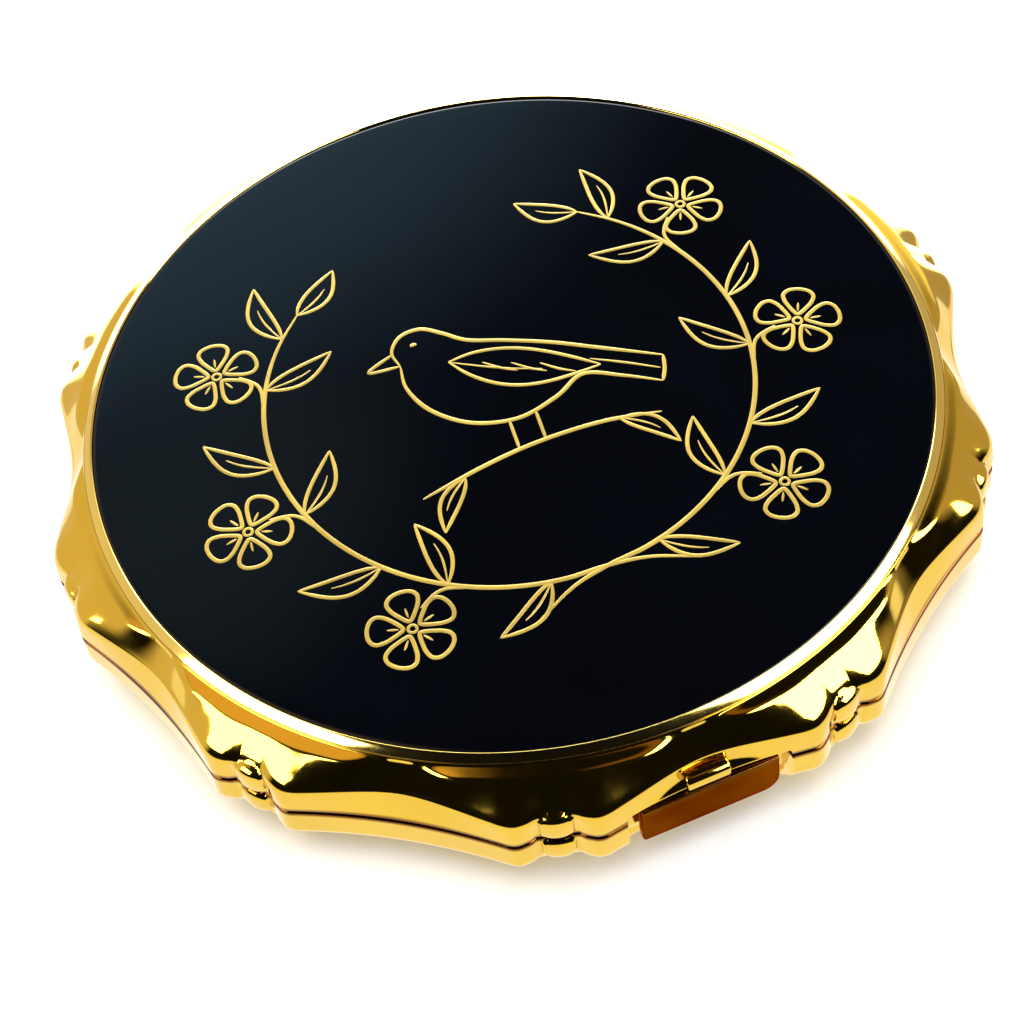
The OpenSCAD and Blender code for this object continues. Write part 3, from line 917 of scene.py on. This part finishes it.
def leaf(base: Point, tip: Point, belly: float, curl: float = 0.12) -> list[Stroke]:
    """An almond leaf: two arcs from base to tip, bowed by belly, bent by curl, and a vein most of the way up."""
    t = np.linspace(0.0, 1.0, 9)[:, None]
    b, e = np.array(base), np.array(tip)
    side = np.array([-(e - b)[1], (e - b)[0]])
    spine = b + (e - b) * t + side * curl * np.sin(np.pi * t)
    wide = side / np.linalg.norm(side) * belly * np.sin(np.pi * t**0.85)
    return [Stroke(spine + wide, 0.4, 0.2), Stroke(spine - wide * 0.8, 0.4, 0.2), Stroke(spine[:6], 0.26, 0.6)]


@dataclass(frozen=True)
class Engraving:
    """A small bird in a wreath of two flowering sprigs, cut as fine gilt lines that follow the enamel's crown.

    The motif is a plain one, laid out by rule. The sprigs are arcs about the lid's middle, the left one mirrors the
    right one, and their leaves and blossoms stand at even steps.
    """

    dome: Dome
    height: float = 0.035
    sink: float = 0.02
    fineness: float = 0.84
    wreath_r: float = 21.0

    def sprig(self, side: float) -> list[Stroke]:
        """Half of the wreath: a stem, three blossoms outside it, and leaves by turns inside and outside.

        Args:
            side: 1.0 for the right half, -1.0 for the left half.

        Returns:
            The half's strokes.
        """
        r = self.wreath_r

        def at(angle: float, radius: float) -> Point:
            turn = math.radians(angle)
            return side * radius * math.cos(turn), radius * math.sin(turn)

        strokes = [Stroke((at(-107, r + 3.6), at(-99, r + 1.0), *(at(a, r) for a in range(-90, 51, 10))), 0.5)]
        for angle in (-50, -10, 30):
            strokes += blossom(at(angle, r + 4.6), 3.7, angle if side > 0 else 180 - angle)
            strokes.append(Stroke((at(angle - 10, r), at(angle - 3, r + 0.6), at(angle, r + 2.6)), 0.36))
            strokes += leaf(at(angle - 4, r), at(angle + 11, r - 4.8), 1.1, 0.1 * side)
            strokes += leaf(at(angle + 12, r), at(angle + 23, r + 5.4), 1.1, -0.1 * side)
        strokes += leaf(at(-77, r), at(-66, r + 4.8), 1.0, -0.1 * side)
        strokes += leaf(at(50, r), at(66, r + 0.6), 1.2, 0.1 * side)
        return strokes

    @staticmethod
    def bird() -> list[Stroke]:
        """A plain short-tailed bird on a twig: beak, head and back, breast, tail, folded wing, eye and legs."""
        strokes = [
            Stroke(((-7.6, 7.7), (-10.2, 6.7), (-7.5, 6.1)), 0.38),
            Stroke(((-7.5, 6.1), (-7.6, 7.9), (-6.3, 9.3), (-4.4, 9.3), (-2.9, 8.0), (-1.2, 6.2), (1.8, 4.6),
                    (5.2, 2.6), (8.6, 0.2), (13.2, -3.0)), 0.46),
            Stroke(((-7.5, 6.1), (-7.9, 3.4), (-6.9, 0.2), (-4.3, -2.6), (-0.6, -3.9), (3.2, -3.2), (6.2, -1.9),
                    (9.2, -3.6), (12.0, -5.6)), 0.46),
            Stroke(((12.0, -5.6), (12.7, -4.4), (13.2, -3.0)), 0.40),
            Stroke(((7.4, -0.6), (10.0, -2.4), (12.4, -4.2)), 0.30, 0.5),
            Stroke(((-5.9, 7.8), (-5.6, 7.9), (-5.3, 7.8)), 0.50, 0.4),
            Stroke(((-11.0, -8.2), (-5.0, -7.3), (0.0, -7.0), (5.5, -7.4), (10.5, -8.6)), 0.48),
        ]
        strokes += leaf((-3.6, 4.6), (8.0, -1.6), 2.3, -0.05)
        for x in (-1.0, 1.2, 3.4):
            barb = tuple((x + d, 2.7 - 0.53 * (x + d) - drop) for d, drop in ((0.0, 0.0), (1.2, 0.7), (2.4, 1.0)))
            strokes.append(Stroke(barb, 0.30, 0.5))
        strokes += [Stroke(((x, -3.8), (x - 0.2, -5.4), (x - 0.4, -7.0)), 0.34) for x in (-1.4, 1.0)]
        for side in (-1.0, 1.0):
            strokes += leaf((side * 7.0, -7.7), (side * 10.6, -12.2), 0.9, 0.1 * side)
        return strokes

    def ribbon(self, stroke: Stroke) -> tuple[Array, Array, Array]:
        """Sweeps a low ridge along one stroke.

        The section has six points: two feet, two flanks and a crest above the enamel, and a keel below it. Its width
        eases to nothing over the thin share at each end, where the ridge closes to a point.

        Args:
            stroke: the line to follow.

        Returns:
            Points, quads and triangles, counted from 0.
        """
        path = stroke.path()
        ahead = np.gradient(path, axis=0)
        if stroke.closed:
            ahead[0] = ahead[-1] = path[1] - path[-2]
        ahead /= np.maximum(np.linalg.norm(ahead, axis=1, keepdims=True), 1e-9)
        side = np.stack([-ahead[:, 1], ahead[:, 0]], -1)
        u = np.linspace(0, 1, len(path))
        edge = np.minimum(u, 1 - u) / max(stroke.thin, 1e-6)
        swell = np.ones_like(u) if stroke.closed else np.sqrt(np.clip(edge, 0.0, 1.0)) * 0.75 + 0.25
        across = np.array([-0.5, -0.32, 0.0, 0.32, 0.5, 0.0])
        lift = np.array([0.0, 0.8, 1.0, 0.8, 0.0, -self.sink / self.height]) * self.height
        width = self.fineness * stroke.width * swell
        xy = path[:, None] + side[:, None] * (across[None, :, None] * width[:, None, None])
        z = self.dome.height(np.hypot(xy[..., 0], xy[..., 1])) + lift[None] * np.minimum(1.0, swell[:, None] + 0.2)
        rings = np.concatenate([xy, z[..., None]], -1)
        rows, cols = rings.shape[:2]
        if stroke.closed:
            rings = rings[:-1]
            return rings.reshape(-1, 3), grid_faces(rows - 1, cols, True), np.zeros((0, 3), int)
        points = np.concatenate([rings.reshape(-1, 3), rings[[0, -1]].mean(1)])
        low = fan_faces(0, cols, rows * cols)
        high = fan_faces((rows - 1) * cols, cols, rows * cols + 1)[:, ::-1]
        return points, grid_faces(rows, cols), np.concatenate([low, high])

    def piece(self) -> Piece:
        """All the strokes as one mesh."""
        points, quads, triangles, count = [], [], [], 0
        for stroke in self.sprig(1.0) + self.sprig(-1.0) + self.bird():
            p, q, t = self.ribbon(stroke)
            points.append(p)
            quads.append(q + count)
            triangles.append(t + count)
            count += len(p)
        return make_mesh("engraved_bird_and_blossom", np.concatenate(points), np.concatenate(quads),
                         np.concatenate(triangles), 60.0)


# ---- Case ----


@dataclass
class Case:
    """The case: lobed shell, deck, well, both hinges' fixed halves, springs, rivets and the clip."""

    shop: Workshop
    rim: PiecrustRim = field(default_factory=PiecrustRim)
    top: float = 6.95
    sheet: float = 0.6
    foot_radius: float = 32.2

    def mix(self, a: Array, inset: float, share: float, circle: float) -> Array:
        """Radius between the inset rim and a circle."""
        return (1 - share) * (self.rim.radius(a) - inset) + share * circle

    def shell(self) -> Piece:
        """The case's pressed shell, one closed skin from the foot, up the wall, over the lip and down inside."""
        a = self.rim.angles()
        sheet, foot = self.sheet, self.foot_radius
        stack = [
            (0.5, 0.0, 0.0, 4),
            (foot, 0.0, 0.8, 2),
            (self.mix(a, 5.0, 0.8, 34.6), 0.25, 0.8, 1),
            (self.mix(a, 3.0, 0.35, 36.8), 1.0, 0.9, 1),
            (self.mix(a, 1.5, 0.0, 0.0), 2.2, 0.7, 1),
            (self.rim.recessed(a, 0.5), 3.4, 0.5, 1),
            (self.rim.recessed(a, 0.0), 4.1, 0.4, 8),
            (self.rim.recessed(a, 0.0), self.top, 0.3, 0),
            (self.rim.recessed(a, sheet), self.top, 0.1, 2),
            (self.rim.recessed(a, sheet), 4.5, 0.3, 1),
            (self.rim.recessed(a, sheet + 0.5), 3.9, 0.3, 1),
            (self.mix(a, sheet + 1.6, 0.0, 0.0), 2.7, 0.4, 1),
            (self.mix(a, sheet + 3.1, 0.35, 36.2), 1.6, 0.5, 1),
            (self.mix(a, sheet + 5.0, 0.8, 34.0), 0.85, 0.5, 1),
            (foot - 0.5, sheet, 0.3, 2),
            (0.5, sheet, 0.0, 0),
        ]
        rings, rows = self.rim.filled(a, stack, wall=39.5)
        rings = with_beads(rings, a, self.rim, 5.5, 1.35, rows)
        return ring_skin("case_shell_piecrust", rings, poles=True)

    def well(self) -> Piece:
        """The pressed powder cup with its rolled lip and sifter ledge."""
        r, low, wall = 30.6, 1.0, 0.5
        return turned("powder_cup", [
            (0.0, low, 0.0), (r - 0.6, low, 0.4), (r - 0.02, low + 0.6, 0.4), (r - 0.02, 6.46, 0.05),
            (r + 0.22, 6.46, 0.05), (r + 0.22, 6.66, 0.1), (r - 0.02, 6.84, 0.1), (r - 0.02, 7.63, 0.15),
            (r - wall, 7.63, 0.2),
            (r - wall, 3.2, 0.05), (r - wall - 0.5, 3.2, 0.1), (r - wall - 0.5, 2.8, 0.1), (r - wall, 2.3, 0.2),
            (r - wall, low + 0.8, 0.4), (r - 0.9, low + 0.5, 0.3), (0.0, low + 0.5, 0.0),
        ], cols=320)

    def sifter(self) -> tuple[Piece, Piece]:
        """The loose ring that rests on the ledge, and the gauze stretched in it."""
        ring = turned("sifter_rim", [
            (26.5, 3.22, 0.05), (29.78, 3.22, 0.1), (29.78, 4.58, 0.12), (29.42, 4.58, 0.12), (29.42, 3.92, 0.15),
            (26.5, 3.92, 0.12),
        ], cols=320)
        gauze = turned("sifter_gauze", [(0.0, 3.46, 0.0), (26.46, 3.46, 0.0), (26.46, 3.56, 0.0), (0.0, 3.56, 0.0)])
        return ring, gauze

    def build(self) -> None:
        """Makes and fits every piece of the case."""
        f, fit, ease = self.shop.finishes, self.shop.fit, self.shop.ease
        fit(self.shell(), Body.CASE, "gilt_case", f.case, ["case_shell"])
        fit(self.well(), Body.CASE, "gilt_inside", f.inside, ["powder_well"])
        ring, gauze = self.sifter()
        fit(ring, Body.CASE, "gilt_ring", f.ring, ["sifter_ring"])
        fit(gauze, Body.CASE, "gauze", f.gauze, ["sifter_mesh"])
        self.shop.dress_node("deck_plate", f.inside)
        ease("case_hinge_knuckles", "case_knuckles_eased", 0.08, Body.CASE, "gilt_hinge", f.hinge)
        ease("hinge_pin", "hinge_pin_eased", 0.1, Body.CASE, "pin_metal", f.pin)
        ease("inner_hinge_bracket", "inner_bracket_eased", 0.05, Body.CASE, "gilt_hinge", f.hinge)
        ease("inner_hinge_pin", "inner_pin_eased", 0.08, Body.CASE, "pin_metal", f.pin)
        self.shop.dress_node("inner_lift_spring", f.spring)
        ease("bracket_rivets", "bracket_rivets_eased", 0.1, Body.CASE, "gilt_hinge", f.hinge)
        ease("catch_spring", "catch_spring_eased", 0.04, Body.CASE, "spring_metal", f.spring)
        ease("catch_spring_rivets", "spring_rivets_eased", 0.1, Body.CASE, "gilt_hinge", f.hinge)
        ease("well_clip", "well_clip_eased", 0.05, Body.CASE, "spring_metal", f.spring)


@dataclass
class Puff:
    """The powder puff: a velour pad, a satin back and a ribbon loop."""

    shop: Workshop
    radius: float = 28.3
    low: float = 3.98
    high: float = 6.5

    def pad(self) -> Piece:
        """The pad: a crowned cushion whose rim is rounded, its top dimpled where the back is stitched on."""
        n = 96
        u = np.linspace(0.0, 1.0, 30)
        r_out = self.radius * np.sin(0.5 * np.pi * u)
        a = np.linspace(0, 2 * np.pi, n, endpoint=False)
        mid, half = (self.low + self.high) / 2, (self.high - self.low) / 2
        puffed = np.sqrt(np.clip(1.0 - (r_out / self.radius) ** 6, 0.0, 1.0))
        stitch = 1.0 - 0.05 * np.cos(24 * a)[None, :] * smoothstep(r_out / self.radius, 0.8, 1.0)[:, None]
        z_low = mid - half * puffed[:, None] * np.ones((1, n))
        z_high = mid + half * puffed[:, None] * stitch
        r = np.concatenate([r_out[1:], r_out[1:-1][::-1]])
        z = np.concatenate([z_low[1:], z_high[1:-1][::-1]])
        rings = np.stack([r[:, None] * np.cos(a), r[:, None] * np.sin(a), z], -1)
        return ring_skin("puff_velour_pad", rings, poles=True, sharp_deg=80)

    def build(self) -> None:
        """Makes and fits the puff."""
        f, fit = self.shop.finishes, self.shop.fit
        pad = fit(self.pad(), Body.CASE, "velour", f.velour, ["puff_pad"])
        r, z = 27.0, 6.56
        back = turned("puff_satin_back", [(0.0, z, 0.0), (r - 0.1, z, 0.1), (r - 0.02, z + 0.2, 0.15),
                                          (r - 0.6, z + 0.42, 0.3), (0.0, z + 0.44, 0.0)])
        fit(back, Body.CASE, "satin", f.satin, ["puff_backing"])
        self.shop.ease("puff_ribbon", "puff_ribbon_band", 0.1, Body.CASE, "ribbon", f.ribbon)


def rounded_outline(low: Point, high: Point, corners: Sequence[float], steps: int = 9) -> Array:
    """A rectangle's outline with its own radius at each corner.

    Args:
        low: lowest x and z.
        high: highest x and z.
        corners: radii at lower left, lower right, upper right and upper left.
        steps: points round each corner.

    Returns:
        Points (x, z), anticlockwise.
    """
    x, z = (low[0], high[0], high[0], low[0]), (low[1], low[1], high[1], high[1])
    sx, sz = (1, -1, -1, 1), (1, 1, -1, -1)
    parts = []
    for k, radius in enumerate(corners):
        t = np.radians(180.0 + 90.0 * k + np.linspace(0.0, 90.0, steps))
        across = x[k] + sx[k] * radius + radius * np.cos(t)
        up = z[k] + sz[k] * radius + radius * np.sin(t)
        parts.append(np.stack([across, up], -1))
    return np.concatenate(parts)


@dataclass
class Catch:
    """The push plate and the latch on its back."""

    shop: Workshop
    half_width: float = 5.98
    low: float = 3.42
    high: float = 7.58
    back_y: float = -39.06
    front_y: float = -39.79

    def plate(self) -> Piece:
        """The push plate: a pressed oblong with one well-rounded lower corner and a rolled front edge."""
        steps = ((0.0, self.back_y, 0.0), (0.0, self.front_y + 0.3, 0.1), (0.05, self.front_y + 0.06, 0.1),
                 (0.35, self.front_y, 0.2), (0.9, self.front_y, 0.1), (1.9, self.front_y + 0.02, 0.0))
        rings = []
        for inset, y, _ in steps:
            w = self.half_width - inset
            corners = [max(0.05, c - inset) for c in (0.35, 1.5, 0.2, 0.2)]
            xz = rounded_outline((-w, self.low + inset), (w, self.high - inset), corners)
            rings.append(np.stack([xz[:, 0], np.full(len(xz), y), xz[:, 1]], -1))
        return ring_skin("catch_push_plate", filleted(np.stack(rings), [s[2] for s in steps], 4), poles=True)

    def build(self) -> None:
        """Makes and fits the catch."""
        f, fit, ease = self.shop.finishes, self.shop.fit, self.shop.ease
        fit(self.plate(), Body.CATCH, "gilt_catch", f.catch, ["catch_plate"])
        ease("catch_latch", "catch_latch_eased", 0.06, Body.CATCH, "spring_metal", f.spring)


@dataclass
class InnerLid:
    """The inner lid over the well, its knuckles and its tab."""

    shop: Workshop

    def plate(self) -> Piece:
        """The shallow pressed cap, with a raised ring near its edge."""
        r = 31.5
        return turned("inner_lid_cap", [
            (0.0, 8.2, 0.0), (22.0, 8.1, 0.0), (r - 0.52, 7.8, 0.2), (r - 0.52, 6.62, 0.03), (r - 0.02, 6.62, 0.06),
            (r - 0.02, 8.0, 0.2), (r - 0.35, 8.26, 0.2), (28.6, 8.4, 0.2), (28.2, 8.3, 0.15), (27.4, 8.3, 0.15),
            (27.0, 8.46, 0.2), (22.0, 8.54, 0.0), (12.0, 8.6, 0.0), (0.0, 8.63, 0.0),
        ], cols=384)

    def build(self) -> None:
        """Makes and fits the inner lid."""
        f, fit, ease = self.shop.finishes, self.shop.fit, self.shop.ease
        fit(self.plate(), Body.INNER_LID, "gilt_inner_lid", f.inner_lid, ["inner_lid"])
        ease("inner_lid_knuckles", "inner_knuckles_eased", 0.06, Body.INNER_LID, "gilt_hinge", f.hinge)
        ease("inner_lid_tab", "inner_tab_eased", 0.12, Body.INNER_LID, "gilt_inner_lid", f.ring)


# ---- Studio ----


@dataclass(frozen=True)
class SoftBox:
    """A soft round patch of light in the sky: where it is, how wide, how bright."""

    azimuth: float
    elevation: float
    half_width: float
    blur: float
    light: tuple[float, float, float]

    def direction(self, turn: float) -> Vector:
        """Unit vector towards the patch, its azimuth counted from the camera's own side."""
        return toward(self.azimuth + turn, self.elevation)

    def cosine(self, beyond: float) -> float:
        """Cosine of the angle from the patch's middle to that many degrees beyond its half width."""
        return math.cos(math.radians(max(0.5, self.half_width + beyond)))


def toward(azimuth: float, elevation: float) -> Vector:
    """Unit vector towards an azimuth, counted from -Y towards +X, and an elevation."""
    a, e = math.radians(azimuth), math.radians(elevation)
    return Vector((math.sin(a) * math.cos(e), -math.cos(a) * math.cos(e), math.sin(e)))


@dataclass(frozen=True)
class Lamp:
    """An oblong lamp: where it hangs, its size in metres, its power, where it aims and what it lights.

    A window is seen only in polished metal; any other lamp lights only dull surfaces.
    """

    name: str
    azimuth: float
    elevation: float
    distance: float
    size: tuple[float, float]
    watts: float
    target: tuple[float, float, float] = (0.0, 0.0, 0.01)
    window: bool = False

    def hang(self, turn: float) -> None:
        """Adds the lamp to the scene, its azimuth counted from the camera's own side."""
        place = toward(self.azimuth + turn, self.elevation) * self.distance
        data = bpy.data.lights.new(self.name, "AREA")
        data.shape = "RECTANGLE"
        data.size, data.size_y, data.energy = *self.size, self.watts
        lamp = bpy.data.objects.new(self.name, data)
        bpy.context.scene.collection.objects.link(lamp)
        lamp.location = place
        lamp.rotation_mode = "QUATERNION"
        lamp.rotation_quaternion = (Vector(self.target) - place).to_track_quat("-Z", "Y")
        lamp.visible_glossy = self.window
        lamp.visible_diffuse = not self.window


@dataclass
class Studio:
    """Floor, sky, lamps and camera."""

    camera_azimuth: float = -15.8
    elevation: float = 52.31
    roll: float = 8.73
    lens_mm: float = 88.71328125
    disc_radius: float = 36.0
    distance: float = 5.988
    offset: tuple[float, float] = (0.0347, 0.280)
    disc_edge_z: float = 13.0
    ambient: float = 0.008
    patches: tuple[SoftBox, ...] = (
        SoftBox(-122.0, 8.0, 42.0, 14.0, (1.0, 0.88, 0.7)),
        SoftBox(180.0, -8.0, 34.0, 14.0, (12.0, 12.0, 12.0)),
        SoftBox(124.0, 10.0, 34.0, 18.0, (0.66, 0.56, 0.44)),
        SoftBox(-104.0, 62.0, 17.0, 12.0, (1.1, 0.72, 0.35)),
        SoftBox(60.0, 76.0, 8.0, 8.0, (0.3, 0.15, 0.05)),
        SoftBox(-165.0, 28.0, 14.0, 20.0, (0.44, 0.76, 1.0)),
        SoftBox(-158.0, 48.0, 6.0, 16.0, (0.2, 0.3, 0.33)),
        SoftBox(152.0, 14.0, 17.0, 14.0, (1.7, 1.6, 1.4)),
        SoftBox(0.0, -90.0, 74.0, 8.0, (1.4, 1.36, 1.3)),
    )
    lamps: tuple[Lamp, ...] = (
        Lamp("right_window", 68.0, 38.0, 1.0, (0.84, 0.69), 23.5, window=True),
        Lamp("left_window", -67.5, 28.5, 1.0, (0.63, 0.48), 10.0, window=True),
        Lamp("overhead", -140.0, 76.0, 0.9, (1.2, 1.2), 9.5),
        Lamp("front_fill", 20.0, 60.0, 1.0, (1.2, 1.2), 11.0),
        Lamp("behind", 178.0, 30.0, 0.6, (0.35, 0.35), 10.0, (0.05, 0.42, 0.0)),
    )

    def camera(self) -> None:
        """Places the camera: a long lens, looking down at the disc, rolled a little to the right."""
        az, roll = math.radians(self.camera_azimuth), math.radians(self.roll)
        back = toward(self.camera_azimuth, self.elevation)
        right = Vector((math.cos(az), math.sin(az), 0.0))
        up = back.cross(right)
        centre = Vector((0.0, 0.0, self.disc_edge_z * MM))
        place = centre + self.disc_radius * MM * (
            self.distance * back - self.offset[0] * right - self.offset[1] * up
        )
        x = right * math.cos(roll) - up * math.sin(roll)
        y = right * math.sin(roll) + up * math.cos(roll)
        data = bpy.data.cameras.new("camera")
        data.sensor_width = 36.0
        data.lens = self.lens_mm
        data.clip_start, data.clip_end = 0.01, 20.0
        camera = bpy.data.objects.new("camera", data)
        bpy.context.scene.collection.objects.link(camera)
        camera.matrix_world = Matrix.Translation(place) @ Matrix((x, y, back)).transposed().to_4x4()
        bpy.context.scene.camera = camera

    def sky(self) -> None:
        """A dark sky with soft patches of light: each is a smooth step of the cosine to its direction."""
        world = bpy.data.worlds.new("studio_sky")
        bpy.context.scene.world = world
        world.use_nodes = True
        nodes, join = world.node_tree.nodes, world.node_tree.links.new
        nodes.clear()

        def vector_math(operation: str) -> Node:
            node = nodes.new("ShaderNodeVectorMath")
            node.operation = operation
            return node

        output, background = nodes.new("ShaderNodeOutputWorld"), nodes.new("ShaderNodeBackground")
        join(background.outputs["Background"], output.inputs["Surface"])
        place = nodes.new("ShaderNodeTexCoord").outputs["Generated"]
        brightest = None
        for patch in self.patches:
            dot = vector_math("DOT_PRODUCT")
            join(place, dot.inputs[0])
            dot.inputs[1].default_value = patch.direction(self.camera_azimuth)
            step = nodes.new("ShaderNodeMapRange")
            step.interpolation_type = "SMOOTHSTEP"
            step.inputs["From Min"].default_value = patch.cosine(patch.blur / 2)
            step.inputs["From Max"].default_value = patch.cosine(-patch.blur / 2)
            join(dot.outputs["Value"], step.inputs["Value"])
            tint = vector_math("SCALE")
            tint.inputs[0].default_value = patch.light
            join(step.outputs["Result"], tint.inputs["Scale"])
            larger = vector_math("MAXIMUM")
            larger.inputs[1].default_value = (self.ambient,) * 3
            join(tint.outputs["Vector"], larger.inputs[0])
            if brightest is not None:
                join(brightest, larger.inputs[1])
            brightest = larger.outputs["Vector"]
        join(brightest, background.inputs["Color"])

    def floor(self) -> None:
        """A plain pale floor with a faint paper grain. Polished metal sees the sky's lowest patch in its place."""
        mesh = bpy.data.meshes.new("floor")
        mesh.from_pydata([(x * FLOOR_HALF, y * FLOOR_HALF, 0.0) for x, y in ((-1, -1), (1, -1), (1, 1), (-1, 1))], [],
                         [(0, 1, 2, 3)])
        floor = bpy.data.objects.new("floor", mesh)
        bpy.context.scene.collection.objects.link(floor)
        floor.visible_glossy = False
        shader = Shader("pale_floor")
        grain = shader.noise(shader.place(), 400.0, 3.0)
        shader.tint(grain.outputs["Fac"], (0.86, 0.88, 0.91), (0.90, 0.92, 0.95))
        shader.set(Roughness=0.9, Specular_IOR_Level=0.1)
        mesh.materials.append(shader.material)

    def build(self) -> None:
        """Sets the whole studio."""
        self.camera()
        self.sky()
        for lamp in self.lamps:
            lamp.hang(self.camera_azimuth)
        self.floor()
        bpy.context.scene.view_settings.view_transform = "Standard"


def main() -> None:
    """Builds the compact and its studio."""
    logging.basicConfig(level=logging.INFO, format="%(name)s: %(message)s")
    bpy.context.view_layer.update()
    shop = Workshop()
    for part in (Case(shop), Puff(shop), Catch(shop), Lid(shop), InnerLid(shop)):
        part.build()
    Studio().build()


if __name__ == "__main__":
    main()
